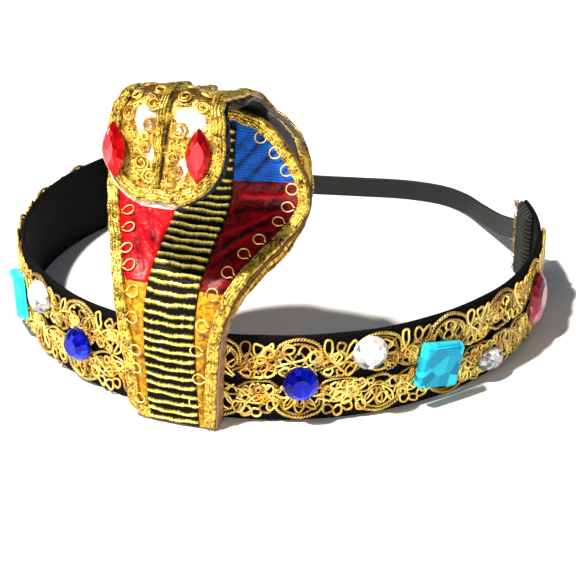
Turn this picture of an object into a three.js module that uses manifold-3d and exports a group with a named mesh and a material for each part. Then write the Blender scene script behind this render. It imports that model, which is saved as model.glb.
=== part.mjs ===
// A costume headband with a rearing cobra. A lace-trimmed band of black tape stands on its lower edge and is
// closed at the back by a narrow elastic. A hooded cobra of brocade, satin and braid is sewn to its front.
// Millimetres, +Z up. The cobra faces -Y, and angles on the band run from there towards +X.

import * as THREE from "three";
import { mergeVertices } from "three/addons/utils/BufferGeometryUtils.js";
import Module from "manifold-3d";

const wasm = await Module();
wasm.setup();

// Band and strap
const GAP = 0.3;
const BAND_RADIUS = 86;
const BAND_HEIGHT = 28;
const BAND_END = 119.5;
const BACKING_THICKNESS = 1.6;
const BACKING_INNER = BAND_RADIUS - BACKING_THICKNESS / 2;
const BACKING_OUTER = BAND_RADIUS + BACKING_THICKNESS / 2;
const BACKING_ROWS = 54;
const HEM_THICKNESS = 2.6;
const HEM_START = 110.2;
const HEM_INSET = 0.5;
const HEM_ROWS = 4;
const HEM_RADIUS = BACKING_INNER - GAP - HEM_THICKNESS / 2;
const STRAP_WIDTH = 8;
const STRAP_THICKNESS = 1;
const STRAP_END_HEIGHT = 16.5;
const STRAP_END_ANGLES = [119.5, 116.1, 112.7];
const STRAP_ROWS = 40;
const POCKET_PAST_STRAP = 0.7;
const POCKET_PAST_HEM = 2;

// The strap's way across the back from the left end of the band to the right one, at mid width
const STRAP_ROUTE = [
  { x: -63, y: 60, height: 10 },
  { x: -51, y: 74, height: 6.4 },
  { x: -36, y: 81.6, height: 4.7 },
  { x: -16, y: 86.2, height: 4.1 },
  { x: 0, y: 89.8, height: 4.05 },
  { x: 18, y: 93.2, height: 4.1 },
  { x: 33, y: 92.2, height: 4.25 },
  { x: 44, y: 85.4, height: 5 },
  { x: 53, y: 74, height: 6.6 },
  { x: 63, y: 59, height: 10 },
];

// Lace trim: an upper row and its mirror image below, each a wavy stem with large and small arches
const TRIM_INNER = BACKING_OUTER + GAP;
const TRIM_OUTER = TRIM_INNER + 1.3;
const TRIM_CELLS = 14;
const TRIM_PITCH = 15.6;
const TRIM_MIRROR_HEIGHT = 14.5;
const STEM = { width: 1.7, height: 17.4, wave: 1.9, inset: 0, rows: 4 };
const HUMP = { width: 1.6, halfSpan: 6.6, foot: 17.7, rise: 10.2, inset: 0.12, rows: 6 };
const LOOP = { width: 1.4, halfSpan: 3.3, foot: 18.9, rise: 5, inset: 0.24, rows: 3 };

// Front panel of the hood: bends of its centre line from the base up, turn being how far it leans back
const PANEL_BASE = { y: -92.9, z: 0.4 };
const PANEL_THICKNESS = 1.2;
const PANEL_ROWS = 36;
const PANEL_BENDS = [
  { length: 29, turn: 0 },
  { length: 22, turn: 60 },
  { length: 16.5, turn: 0 },
  { length: 10.3, turn: -49 },
  { length: 23, turn: 0 },
];
const HOOD_OUTLINE = [
  { along: 0, halfWidth: 13.7 },
  { along: 15, halfWidth: 14.4 },
  { along: 30, halfWidth: 16 },
  { along: 40, halfWidth: 18.4 },
  { along: 50, halfWidth: 22.2 },
  { along: 60, halfWidth: 26.8 },
  { along: 70, halfWidth: 30.8 },
  { along: 77, halfWidth: 31.8 },
  { along: 84, halfWidth: 29.6 },
  { along: 90, halfWidth: 25.2 },
  { along: 95, halfWidth: 20.6 },
  { along: 98.5, halfWidth: 15.2 },
  { along: 100.8, halfWidth: 7 },
];
const HOOD_LENGTH = HOOD_OUTLINE[HOOD_OUTLINE.length - 1].along;

// Facings of the front panel
const BRAID_WIDTH = 3.6;
const HEAD_BRAID_WIDTH = 3.4;
const BRAID_SEAT = 0.6;
const BRAID_THICKNESS = 1.2;
const BRAID_ROWS = 32;
const BRAID_END_INSET = 0.2;
const FACING_THICKNESS = 1;
const FACING_ROWS = 8;
const STRIP_HALF_WIDTH = 8;
const STRIP_SHIFT = { x: 0.8, length: 30 };
const STRIP_LENGTH = 96;
const RIB_PITCH = 2.8;
const RIB_RISE = 0.8;
const PANELS = [
  { name: "panel_gold", from: 0.4, to: 42.8, finish: "goldSatin" },
  { name: "panel_red", from: 43.2, to: 79.8, finish: "redSatin" },
  { name: "panel_blue", from: 80.2, to: 93.6, finish: "blueCloth" },
];

// Brocade piece: up the back of the hood, over the top and down the face to the nose. halfWidth is across,
// drop is how far the side edges curl inwards, crease is the depth of the furrow down the middle.
const BROCADE_THICKNESS = 1.2;
const CREASE_HALF_WIDTH = 2.4;
const DROP_POWER = 2.2;
const BROCADE = withDistances([
  { y: -90.2, z: 0.4, halfWidth: 13.7, drop: 0, crease: 0 },
  { y: -90.2, z: 15, halfWidth: 14.4, drop: 0, crease: 0 },
  { y: -90.2, z: 28.6, halfWidth: 15.9, drop: 0, crease: 0 },
  { y: -87.4, z: 38.2, halfWidth: 19, drop: 0.4, crease: 0 },
  { y: -80, z: 43.8, halfWidth: 23.2, drop: 1.8, crease: 0 },
  { y: -71.2, z: 46.8, halfWidth: 27.6, drop: 3.6, crease: 0 },
  { y: -59.4, z: 53, halfWidth: 30.2, drop: 5.2, crease: 0 },
  { y: -53.6, z: 62.6, halfWidth: 30.6, drop: 5.6, crease: 0 },
  { y: -50, z: 73.2, halfWidth: 27.8, drop: 5.4, crease: 0 },
  { y: -47.6, z: 80, halfWidth: 22, drop: 4.2, crease: 0 },
  { y: -47.4, z: 84.8, halfWidth: 15.4, drop: 2.2, crease: 0.1 },
  { y: -50.4, z: 88.4, halfWidth: 12.6, drop: 1.2, crease: 0.3 },
  { y: -56.6, z: 91, halfWidth: 12.4, drop: 1.2, crease: 0.7 },
  { y: -66, z: 93.8, halfWidth: 13.4, drop: 2.2, crease: 1 },
  { y: -76.6, z: 97.8, halfWidth: 14.8, drop: 3.4, crease: 1.4 },
  { y: -84, z: 99.8, halfWidth: 15.6, drop: 4.2, crease: 1.5 },
  { y: -89.4, z: 97.2, halfWidth: 16.6, drop: 4.4, crease: 1.5 },
  { y: -92, z: 91.8, halfWidth: 17.7, drop: 4.2, crease: 1.4 },
  { y: -93.4, z: 86.6, halfWidth: 18.2, drop: 4, crease: 1.3 },
  { y: -94.8, z: 81.4, halfWidth: 17.7, drop: 3.4, crease: 1.2 },
  { y: -96.4, z: 76, halfWidth: 14.8, drop: 2.2, crease: 0.8 },
  { y: -97.6, z: 72.3, halfWidth: 9.6, drop: 1, crease: 0.4 },
  { y: -98.2, z: 70.4, halfWidth: 4.4, drop: 0.2, crease: 0 },
]);
const BROCADE_LENGTH = BROCADE[BROCADE.length - 1].along;
const BROCADE_ROWS = 38;
const BROCADE_COLUMNS = 8;
const LINING = { thickness: 1, seat: 0.45, reach: 0.92, firstStation: 18, lastStation: 37 };
const CENTRE_BRAID = { width: 2.4, thickness: 1, firstStation: 23, lastStation: 37 };

// Stones: mirrored on both sides of the band, with the square ones glued on askew. A cut stone shrinks and
// rises from ring to ring.
const SQUARE_STONE_TURN = -12;
const STONE_CUT = [
  { size: 1, height: 0 },
  { size: 1, height: 0.32 },
  { size: 0.8, height: 0.74 },
  { size: 0.54, height: 1 },
];
const SQUARE_CUT = [
  { size: 1, height: 0 },
  { size: 1, height: 0.45 },
  { size: 0.93, height: 0.85 },
  { size: 0.84, height: 1 },
];
const STONES = [
  { name: "blue_round", angle: 23.6, height: 13.8, width: 10.5, tall: 10.5, depth: 4, cut: "round" },
  { name: "clear_round", angle: 36.8, height: 22, width: 10.5, tall: 10.5, depth: 3.6, cut: "round" },
  { name: "turquoise_square", angle: 51.4, height: 13.2, width: 14.5, tall: 14, depth: 3.4, cut: "square" },
  { name: "clear_oval", angle: 66, height: 7, width: 11, tall: 7, depth: 3, cut: "round" },
  { name: "rose_oval", angle: 86.5, height: 14.6, width: 13, tall: 18, depth: 3, cut: "round" },
];
const EYE = { width: 7, tall: 15, depth: 3.4, cut: "navette" };

// The right eye is glued to the brocade, the left one partly over the edge braid
const EYE_SEATS = [
  { label: "left", x: -12.6, row: 18.5, lift: 2.2, lean: 14 },
  { label: "right", x: 10.5, row: 18.3, lift: 0.9, lean: -5 },
];
const STONE_SIDES = 12;
const SQUARE_CORNER = 0.05;

// Finishes
const FINISHES = {
  tape: { color: 0x141416, roughness: 0.9 },
  elastic: { color: 0x1d1d20, roughness: 0.85 },
  lace: { color: 0xb98a2c, roughness: 0.38, metalness: 0.85 },
  braid: { color: 0xb98a2c, roughness: 0.4, metalness: 0.8 },
  board: { color: 0x3a2a1c, roughness: 0.9 },
  goldSatin: { color: 0xc9962c, roughness: 0.35 },
  redSatin: { color: 0xb00d22, roughness: 0.3 },
  blueCloth: { color: 0x1668c4, roughness: 0.55 },
  ribbedStrip: { color: 0x4a3a14, roughness: 0.5, metalness: 0.4 },
  brocade: { color: 0xd9b868, roughness: 0.35, metalness: 0.6 },
  lining: { color: 0x23262f, roughness: 0.9 },
  blue: { color: 0x1a2fb8, roughness: 0.08 },
  clear: { color: 0xe8eaf0, roughness: 0.08 },
  turquoise: { color: 0x20b4d6, roughness: 0.08 },
  rose: { color: 0xc23a52, roughness: 0.08 },
  red: { color: 0xc8101c, roughness: 0.08 },
};

const radians = THREE.MathUtils.degToRad;
const lerp = THREE.MathUtils.lerp;

// Adds to each row its distance along the chain of (y, z) points.
function withDistances(rows) {
  let along = 0;
  return rows.map((row, i) => {
    if (i > 0) along += Math.hypot(row.y - rows[i - 1].y, row.z - rows[i - 1].z);
    return { ...row, along };
  });
}

// A column of a table as a smooth function of the distance along it, with a cubic between neighbouring rows.
function smooth(table, column, along) {
  const last = table.length - 1;
  let i = 0;
  while (i < last - 1 && along > table[i + 1].along) i++;
  const slope = (row) => {
    const before = table[Math.max(row - 1, 0)];
    const after = table[Math.min(row + 1, last)];
    return (after[column] - before[column]) / (after.along - before.along);
  };
  const span = table[i + 1].along - table[i].along;
  const t = (along - table[i].along) / span;
  const rise = t * t * (3 - 2 * t);
  const pull = slope(i) * t * (1 - t) * (1 - t) - slope(i + 1) * t * t * (1 - t);
  return lerp(table[i][column], table[i + 1][column], rise) + pull * span;
}

// A closed wall. pointAt(along, across, side) gives its faces for along and across from 0 to 1, side 0 or 1.
function wall(pointAt, rows, columns = 1) {
  const positions = [];
  const index = [];
  const id = (row, column, side) => (row * (columns + 1) + column) * 2 + side;
  const quad = (a, b, c, d) => index.push(a, b, c, a, c, d);
  for (let row = 0; row <= rows; row++) {
    for (let column = 0; column <= columns; column++) {
      for (const side of [0, 1]) positions.push(...pointAt(row / rows, column / columns, side).toArray());
    }
  }
  for (let row = 0; row < rows; row++) {
    for (let column = 0; column < columns; column++) {
      quad(id(row, column, 1), id(row + 1, column, 1), id(row + 1, column + 1, 1), id(row, column + 1, 1));
      quad(id(row, column, 0), id(row, column + 1, 0), id(row + 1, column + 1, 0), id(row + 1, column, 0));
    }
    quad(id(row, 0, 0), id(row + 1, 0, 0), id(row + 1, 0, 1), id(row, 0, 1));
    quad(id(row, columns, 0), id(row, columns, 1), id(row + 1, columns, 1), id(row + 1, columns, 0));
  }
  for (let column = 0; column < columns; column++) {
    quad(id(0, column, 0), id(0, column, 1), id(0, column + 1, 1), id(0, column + 1, 0));
    quad(id(rows, column, 0), id(rows, column + 1, 0), id(rows, column + 1, 1), id(rows, column, 1));
  }
  return facingOut(positions, index);
}

// A geometry whose triangles are turned to enclose a positive volume.
function facingOut(positions, index) {
  const corner = (i) => new THREE.Vector3().fromArray(positions, index[i] * 3);
  let volume = 0;
  for (let i = 0; i < index.length; i += 3) volume += corner(i).dot(corner(i + 1).cross(corner(i + 2)));
  if (volume < 0) index.reverse();
  const geometry = new THREE.BufferGeometry();
  geometry.setAttribute("position", new THREE.Float32BufferAttribute(positions, 3));
  geometry.setIndex(index);
  return geometry;
}

function toSolid(geometry) {
  const merged = mergeVertices(geometry, 1e-4);
  const vertProperties = new Float32Array(merged.attributes.position.array);
  const triVerts = new Uint32Array(merged.index.array);
  return new wasm.Manifold(new wasm.Mesh({ numProp: 3, vertProperties, triVerts }));
}

function toGeometry(solid) {
  const { vertProperties, triVerts } = solid.getMesh();
  const geometry = new THREE.BufferGeometry();
  geometry.setAttribute("position", new THREE.BufferAttribute(vertProperties, 3));
  geometry.setIndex(new THREE.BufferAttribute(triVerts, 1));
  return geometry;
}

const headband = new THREE.Group();

function addPiece(name, geometry, finish, parent = headband) {
  const shaded = geometry.toNonIndexed();
  shaded.computeVertexNormals();
  const piece = new THREE.Mesh(shaded, new THREE.MeshStandardMaterial(FINISHES[finish]));
  piece.name = name;
  parent.add(piece);
  return piece;
}

function bandPoint(angle, height, radius) {
  const turn = radians(angle);
  return new THREE.Vector3(radius * Math.sin(turn), -radius * Math.cos(turn), height);
}

// Part of a ring between two angles, two heights and two radii
function ringWall(angles, heights, radii, rows) {
  return wall((along, across, side) => {
    return bandPoint(lerp(...angles, along), lerp(...heights, across), radii[side]);
  }, rows);
}

// Black tape band
const backingRadii = [BACKING_INNER, BACKING_OUTER];
const backing = ringWall([-BAND_END, BAND_END], [0, BAND_HEIGHT], backingRadii, BACKING_ROWS);
addPiece("band_backing", backing, "tape");

// Folded tape ends, each with a pocket that takes the end of the strap
for (const [label, sign] of [["left", -1], ["right", 1]]) {
  const block = ringWall(
    [sign * HEM_START, sign * BAND_END],
    [HEM_INSET, BAND_HEIGHT - HEM_INSET],
    [HEM_RADIUS - HEM_THICKNESS / 2, HEM_RADIUS + HEM_THICKNESS / 2],
    HEM_ROWS,
  );
  const pocketHalfHeight = STRAP_WIDTH / 2 + 2 * GAP;
  const pocketHalfDepth = STRAP_THICKNESS / 2 + GAP;
  const pocket = ringWall(
    [sign * (STRAP_END_ANGLES[2] - POCKET_PAST_STRAP), sign * (BAND_END + POCKET_PAST_HEM)],
    [STRAP_END_HEIGHT - pocketHalfHeight, STRAP_END_HEIGHT + pocketHalfHeight],
    [HEM_RADIUS - pocketHalfDepth, HEM_RADIUS + pocketHalfDepth],
    HEM_ROWS,
  );
  const hem = toGeometry(toSolid(block).subtract(toSolid(pocket)));
  addPiece(`end_hem_${label}`, hem, "tape");
}

// Elastic strap: a flat tape on edge, carried along its route
const strapEnd = (sign) => {
  return STRAP_END_ANGLES.map((angle) => bandPoint(sign * angle, STRAP_END_HEIGHT, HEM_RADIUS));
};
const strapMiddle = STRAP_ROUTE.map(({ x, y, height }) => new THREE.Vector3(x, y, height));
const strapCurve = new THREE.CatmullRomCurve3([...strapEnd(-1).reverse(), ...strapMiddle, ...strapEnd(1)]);
const strap = wall((along, across, side) => {
  const tangent = strapCurve.getTangentAt(along);
  const outward = new THREE.Vector3(tangent.y, -tangent.x, 0).normalize();
  const point = strapCurve.getPointAt(along);
  point.z += (across - 0.5) * STRAP_WIDTH;
  return point.addScaledVector(outward, (side - 0.5) * STRAP_THICKNESS);
}, STRAP_ROWS);
addPiece("elastic_strap", strap, "elastic");

// One cord of the lace. path(t) gives its distance round the band and its height; sign -1 mirrors it down.
const TRIM_MID = (TRIM_INNER + TRIM_OUTER) / 2;
const CELL_LENGTH = radians(TRIM_PITCH) * TRIM_MID;

function trimCord(path, { width, inset }, rows, sign) {
  const radii = [TRIM_INNER + inset / 2, TRIM_OUTER - inset];
  return toSolid(wall((along, across, side) => {
    const point = path(along);
    const ahead = path(along + 0.001).sub(path(along - 0.001)).normalize();
    const shift = (across - 0.5) * width;
    const height = point.y + ahead.x * shift;
    const angle = THREE.MathUtils.radToDeg((point.x - ahead.y * shift) / TRIM_MID);
    return bandPoint(angle, sign > 0 ? height : 2 * TRIM_MIRROR_HEIGHT - height, radii[side]);
  }, rows));
}

// Half an ellipse standing on the stem
function archPath(middle, { halfSpan, foot, rise }) {
  return (t) => {
    const turn = Math.PI * (1 - t);
    return new THREE.Vector2(middle + halfSpan * Math.cos(turn), foot + rise * Math.sin(turn));
  };
}

for (const [name, sign] of [["trim_upper", 1], ["trim_lower", -1]]) {
  const half = TRIM_CELLS / 2;
  const stemPath = (t) => {
    const cells = lerp(-half, half, t);
    return new THREE.Vector2(cells * CELL_LENGTH, STEM.height + STEM.wave * Math.cos(2 * Math.PI * cells));
  };
  let lace = trimCord(stemPath, STEM, TRIM_CELLS * STEM.rows, sign);
  for (let cell = -half; cell < half; cell++) {
    const middle = (cell + 0.5) * CELL_LENGTH;
    lace = lace.add(trimCord(archPath(middle, HUMP), HUMP, HUMP.rows, sign));
    if (cell > -half) lace = lace.add(trimCord(archPath(cell * CELL_LENGTH, LOOP), LOOP, LOOP.rows, sign));
  }
  addPiece(name, toGeometry(lace), "lace");
}

// Centre line of the front panel, a chain of straights and arcs in the YZ plane
function panelAt(along) {
  let { y, z } = PANEL_BASE;
  let lean = 0;
  let left = along;
  for (const { length, turn } of PANEL_BENDS) {
    const step = Math.min(left, length);
    const turned = (radians(turn) * step) / length;
    if (turn === 0) {
      y += step * Math.sin(lean);
      z += step * Math.cos(lean);
    } else {
      const radius = length / radians(turn);
      y += radius * (Math.cos(lean) - Math.cos(lean + turned));
      z += radius * (Math.sin(lean + turned) - Math.sin(lean));
    }
    lean += turned;
    left -= step;
  }
  return { y, z, lean };
}

// A point on the front of the hood, lifted off its front face
function hoodPoint(x, along, lift) {
  const { y, z, lean } = panelAt(along);
  return new THREE.Vector3(x, y - lift * Math.cos(lean), z + lift * Math.sin(lean));
}

const hoodHalfWidth = (along) => smooth(HOOD_OUTLINE, "halfWidth", along);

// Half-width inside the edge braid, whose width is measured square to the outline
function insideBraid(along) {
  const slope = hoodHalfWidth(along + 0.5) - hoodHalfWidth(along - 0.5);
  return hoodHalfWidth(along) - (BRAID_WIDTH + 2 * GAP) * Math.hypot(1, slope);
}

// The belly strip is sewn on slightly to the right at its foot
function stripMiddle(along) {
  return STRIP_SHIFT.x * Math.max(0, 1 - along / STRIP_SHIFT.length) ** 2;
}

// Stiff front panel
const hoodFront = wall((along, across, side) => {
  const distance = along * HOOD_LENGTH;
  const x = hoodHalfWidth(distance) * (2 * across - 1);
  return hoodPoint(x, distance, side ? 0 : -PANEL_THICKNESS);
}, PANEL_ROWS, 2);
addPiece("hood_front", hoodFront, "board");

// Satin and woven panels between the belly strip and the edge braid
for (const [label, sign] of [["left", -1], ["right", 1]]) {
  for (const { name, from, to, finish } of PANELS) {
    const panel = wall((along, across, side) => {
      const distance = lerp(from, to, along);
      const stripEdge = stripMiddle(distance) + sign * (STRIP_HALF_WIDTH + GAP);
      const x = lerp(stripEdge, sign * insideBraid(distance), across);
      return hoodPoint(x, distance, GAP + side * FACING_THICKNESS);
    }, FACING_ROWS);
    addPiece(`${name}_${label}`, panel, finish);
  }
}

// Belly strip, with a rib at every second row
const ribRows = 2 * Math.round(STRIP_LENGTH / RIB_PITCH);
const bellyStrip = wall((along, across, side) => {
  const crest = Math.round(along * ribRows) % 2;
  const distance = along * STRIP_LENGTH;
  const x = stripMiddle(distance) + STRIP_HALF_WIDTH * (2 * across - 1);
  return hoodPoint(x, distance, GAP + side * (FACING_THICKNESS + crest * RIB_RISE));
}, ribRows);
addPiece("belly_strip", bellyStrip, "ribbedStrip");

// A braid laid along an outline of (x, along) points, its inner edge one braid width inside it
function edgeBraid(outline, width, columns, pointAt) {
  const inside = outline.map((point, i) => {
    const before = outline[Math.max(i - 1, 0)];
    const after = outline[Math.min(i + 1, outline.length - 1)];
    const ahead = after.clone().sub(before).normalize();
    return new THREE.Vector2(point.x - ahead.y * width, point.y + ahead.x * width);
  });
  return wall((along, across, side) => {
    const i = Math.round(along * (outline.length - 1));
    const { x, y } = outline[i].clone().lerp(inside[i], across);
    return pointAt(x, y, BRAID_SEAT + side * BRAID_THICKNESS);
  }, outline.length - 1, columns);
}

// Outline of a piece that is symmetrical about x = 0: up the right edge, across its end and down the left
function outlineOf(distances, halfWidthAt) {
  const right = distances.map((along) => new THREE.Vector2(halfWidthAt(along), along));
  const left = right.map(({ x, y }) => new THREE.Vector2(-x, y)).reverse();
  return [...right, ...left];
}

const steps = (count, length) => Array.from({ length: count + 1 }, (_, i) => (i / count) * length);

const hoodStations = steps(BRAID_ROWS, HOOD_LENGTH - BRAID_END_INSET);
const hoodBraid = edgeBraid(outlineOf(hoodStations, hoodHalfWidth), BRAID_WIDTH, 1, hoodPoint);
addPiece("hood_edge_braid", hoodBraid, "braid");

// Middle surface of the brocade piece: u from -1 to 1 across, along up the back and over to the nose
function brocadeSurface(u, along) {
  const reach = 0.1;
  const at = (column, place) => smooth(BROCADE, column, place);
  const x = u * at("halfWidth", along);
  const ahead = new THREE.Vector2(
    at("y", along + reach) - at("y", along - reach),
    at("z", along + reach) - at("z", along - reach),
  ).normalize();
  const furrow = at("crease", along) * Math.exp(-((x / CREASE_HALF_WIDTH) ** 2));
  const inward = at("drop", along) * Math.abs(u) ** DROP_POWER + furrow;
  return new THREE.Vector3(x, at("y", along) - ahead.y * inward, at("z", along) + ahead.x * inward);
}

// Directions on that surface: across it, along it and out of it
function brocadeAxes(u, along) {
  const across = brocadeSurface(u + 0.01, along).sub(brocadeSurface(u - 0.01, along)).normalize();
  const ahead = brocadeSurface(u, along + 0.1).sub(brocadeSurface(u, along - 0.1)).normalize();
  const out = new THREE.Vector3().crossVectors(ahead, across).normalize();
  return { across, ahead, out };
}

function brocadePoint(u, along, lift) {
  return brocadeSurface(u, along).addScaledVector(brocadeAxes(u, along).out, lift);
}

const brocadeHalfWidth = (along) => smooth(BROCADE, "halfWidth", along);

// Brocade back of the hood and head, in one piece
const brocade = wall((along, across, side) => {
  return brocadePoint(2 * across - 1, along * BROCADE_LENGTH, side ? 0 : -BROCADE_THICKNESS);
}, BROCADE_ROWS, BROCADE_COLUMNS);
addPiece("hood_back_and_head", brocade, "brocade");

// What lies on the brocade has its rows at the same stations, so that their facets run side by side
const brocadeStations = steps(BROCADE_ROWS, BROCADE_LENGTH);
const stationBetween = ({ firstStation, lastStation }, along) => {
  return brocadeStations[Math.round(lerp(firstStation, lastStation, along))];
};

// Lining inside the head and the open top of the hood
const lining = wall((along, across, side) => {
  const u = LINING.reach * (2 * across - 1);
  const depth = BROCADE_THICKNESS + LINING.seat + (1 - side) * LINING.thickness;
  return brocadePoint(u, stationBetween(LINING, along), -depth);
}, LINING.lastStation - LINING.firstStation, BROCADE_COLUMNS);
addPiece("head_lining", lining, "lining");

// Braid round the edge of the brocade, and the narrow one down the middle of the head
const headOutline = outlineOf(brocadeStations, brocadeHalfWidth);
const headBraid = edgeBraid(headOutline, HEAD_BRAID_WIDTH, 2, (x, along, lift) => {
  return brocadePoint(x / brocadeHalfWidth(along), along, lift);
});
addPiece("head_edge_braid", headBraid, "braid");

const centreBraid = wall((along, across, side) => {
  const distance = stationBetween(CENTRE_BRAID, along);
  const u = ((across - 0.5) * CENTRE_BRAID.width) / brocadeHalfWidth(distance);
  return brocadePoint(u, distance, BRAID_SEAT + side * CENTRE_BRAID.thickness);
}, CENTRE_BRAID.lastStation - CENTRE_BRAID.firstStation);
addPiece("head_centre_braid", centreBraid, "braid");

// Outlines of the stones, counter-clockwise, one unit across
const STONE_OUTLINES = {
  round: (turn) => new THREE.Vector2(Math.cos(turn) / 2, Math.sin(turn) / 2),
  navette: (turn) => new THREE.Vector2((Math.cos(turn) * Math.abs(Math.cos(turn))) / 2, Math.sin(turn) / 2),
};

function stoneOutline(cut) {
  if (cut === "square") {
    const near = 0.5 - SQUARE_CORNER;
    const corners = [[0.5, -near], [0.5, near], [near, 0.5], [-near, 0.5]];
    const first = corners.map(([x, y]) => new THREE.Vector2(x, y));
    return [...first, ...first.map((point) => point.clone().negate())];
  }
  const turns = Array.from({ length: STONE_SIDES }, (_, i) => (2 * Math.PI * i) / STONE_SIDES);
  return turns.map(STONE_OUTLINES[cut]);
}

// A cut stone with a flat back at z = 0 and its table on top
function cutStone({ cut, width, tall, depth }) {
  const outline = stoneOutline(cut);
  const rings = cut === "square" ? SQUARE_CUT : STONE_CUT;
  const sides = outline.length;
  const positions = [0, 0, 0, 0, 0, depth];
  const index = [];
  for (const { size, height } of rings) {
    for (const { x, y } of outline) positions.push(x * width * size, y * tall * size, height * depth);
  }
  const id = (ring, i) => 2 + ring * sides + (i % sides);
  const top = rings.length - 1;
  for (let i = 0; i < sides; i++) {
    index.push(0, id(0, i + 1), id(0, i), 1, id(top, i), id(top, i + 1));
    for (let ring = 0; ring < top; ring++) {
      index.push(id(ring, i), id(ring, i + 1), id(ring + 1, i + 1));
      index.push(id(ring, i), id(ring + 1, i + 1), id(ring + 1, i));
    }
  }
  return facingOut(positions, index);
}

// Stones on the band, flat against the lace
for (const [label, sign] of [["left", -1], ["right", 1]]) {
  for (const stone of STONES) {
    const seat = new THREE.Group();
    seat.rotation.z = radians(sign * stone.angle);
    headband.add(seat);
    const piece = addPiece(`stone_${stone.name}_${label}`, cutStone(stone), stone.name.split("_")[0], seat);
    piece.position.set(0, -(TRIM_OUTER + GAP), stone.height);
    piece.rotation.set(Math.PI / 2, 0, stone.cut === "square" ? radians(sign * SQUARE_STONE_TURN) : 0);
  }
}

// Eyes, flat against the face and upright on it
for (const { label, x, row, lift, lean } of EYE_SEATS) {
  const above = Math.floor(row);
  const along = lerp(BROCADE[above].along, BROCADE[above + 1].along, row - above);
  const u = x / brocadeHalfWidth(along);
  const { ahead, out } = brocadeAxes(u, along);
  const up = ahead.clone().negate().applyAxisAngle(out, radians(lean));
  const piece = addPiece(`eye_${label}`, cutStone(EYE), "red");
  piece.position.copy(brocadePoint(u, along, lift));
  const turn = new THREE.Matrix4().makeBasis(new THREE.Vector3().crossVectors(up, out), up, out);
  piece.quaternion.setFromRotationMatrix(turn);
}

// The origin is under the middle of the whole, on the surface that it stands on
const box = new THREE.Box3().setFromObject(headband, true);
const middle = box.getCenter(new THREE.Vector3());
headband.position.set(-middle.x, -middle.y, -box.min.z);

const part = new THREE.Group();
part.add(headband);

export default part;
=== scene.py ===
import math

import bpy
import numpy as np
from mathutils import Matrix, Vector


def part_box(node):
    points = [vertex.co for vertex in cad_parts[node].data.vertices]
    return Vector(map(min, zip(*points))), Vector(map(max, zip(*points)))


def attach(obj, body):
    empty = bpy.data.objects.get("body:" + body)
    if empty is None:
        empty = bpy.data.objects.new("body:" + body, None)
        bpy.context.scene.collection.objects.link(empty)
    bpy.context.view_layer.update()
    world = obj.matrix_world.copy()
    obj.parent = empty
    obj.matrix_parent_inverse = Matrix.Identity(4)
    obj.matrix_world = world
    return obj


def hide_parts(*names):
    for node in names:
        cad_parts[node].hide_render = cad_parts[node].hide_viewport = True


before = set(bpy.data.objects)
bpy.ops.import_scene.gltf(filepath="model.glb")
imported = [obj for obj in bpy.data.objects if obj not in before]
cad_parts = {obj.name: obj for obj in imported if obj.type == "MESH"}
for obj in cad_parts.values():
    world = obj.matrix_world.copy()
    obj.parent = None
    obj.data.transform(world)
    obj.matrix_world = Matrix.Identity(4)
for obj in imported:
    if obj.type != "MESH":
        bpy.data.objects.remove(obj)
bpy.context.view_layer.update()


# Band of black tape
# The headband is a strip of doubled black twill tape that stands on its lower edge as an open ring.
# The lace, the stones and the cobra are all sewn or glued to its outside.
MM = 0.001
BAND_RADIUS = 86.0
BAND_HEIGHT = 28.0
BAND_END = 119.5
TAPE_THICKNESS = 1.6
TAPE_RIB = 1.3
TAPE_RIB_LEAN = 58
TAPE_SWAY = 0.12
TAPE_SWAY_RATE = 11
RING_CENTRE_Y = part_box("band_backing")[0].y / MM + BAND_RADIUS + TAPE_THICKNESS / 2


def on_band(angle, height, radius):
    """A point of the ring: angle in degrees from its front towards +X, height and radius in mm."""
    turn = np.radians(angle)
    parts = np.broadcast_arrays(radius * np.sin(turn), -radius * np.cos(turn), height)
    return np.stack(parts, axis=-1).astype(float)


def pairs(first, second):
    """Two values, or grids of values, as one grid of pairs."""
    return np.stack(np.broadcast_arrays(first, second), axis=-1)


def unit(vectors):
    """The vectors at length 1."""
    return vectors / np.linalg.norm(vectors, axis=-1, keepdims=True)


def grid_faces(rows, columns, wrap_rows=False, wrap_columns=False):
    """Corner numbers of each cell in a grid of points. A wrapped side joins its last line to its first."""
    row, column = np.meshgrid(
        np.arange(rows if wrap_rows else rows - 1),
        np.arange(columns if wrap_columns else columns - 1),
        indexing="ij",
    )
    next_row, next_column = (row + 1) % rows, (column + 1) % columns
    corners = [(row, column), (row, next_column), (next_row, next_column), (next_row, column)]
    return np.stack([(r * columns + c).ravel() for r, c in corners], axis=-1)


def closed(rings):
    """A closed surface through rings of points. Each end ring is filled by strips across its two halves."""
    rows, columns = rings.shape[:2]
    half = np.arange(columns // 2 - 1)
    cap = np.stack([half, columns - 1 - half, columns - 2 - half, half + 1], axis=-1)
    sides = grid_faces(rows, columns, wrap_columns=True)
    return rings.reshape(-1, 3), np.concatenate([sides, cap, cap[:, ::-1] + (rows - 1) * columns])


def strip_profile(width, thickness, flat_cells, rib=0.0, rib_pitch=1.0):
    """Section of a flat tape with round edges: (across, through), from its lower edge up one face and down
    the other. Ribs are a cosine of the distance across."""
    radius = thickness / 2
    half = width / 2 - radius
    turn = np.linspace(0, np.pi / 2, 4)
    lower = pairs(-half - radius * np.cos(turn), radius * np.sin(turn))
    across = np.linspace(-half, half, flat_cells + 1)[1:-1]
    ridge = radius + rib * (np.cos(2 * np.pi * across / rib_pitch) - 1)
    face = np.concatenate([lower, pairs(across, ridge), lower[::-1] * (-1, 1)])
    return np.concatenate([face, face[-2:0:-1] * (1, -1)])


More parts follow.
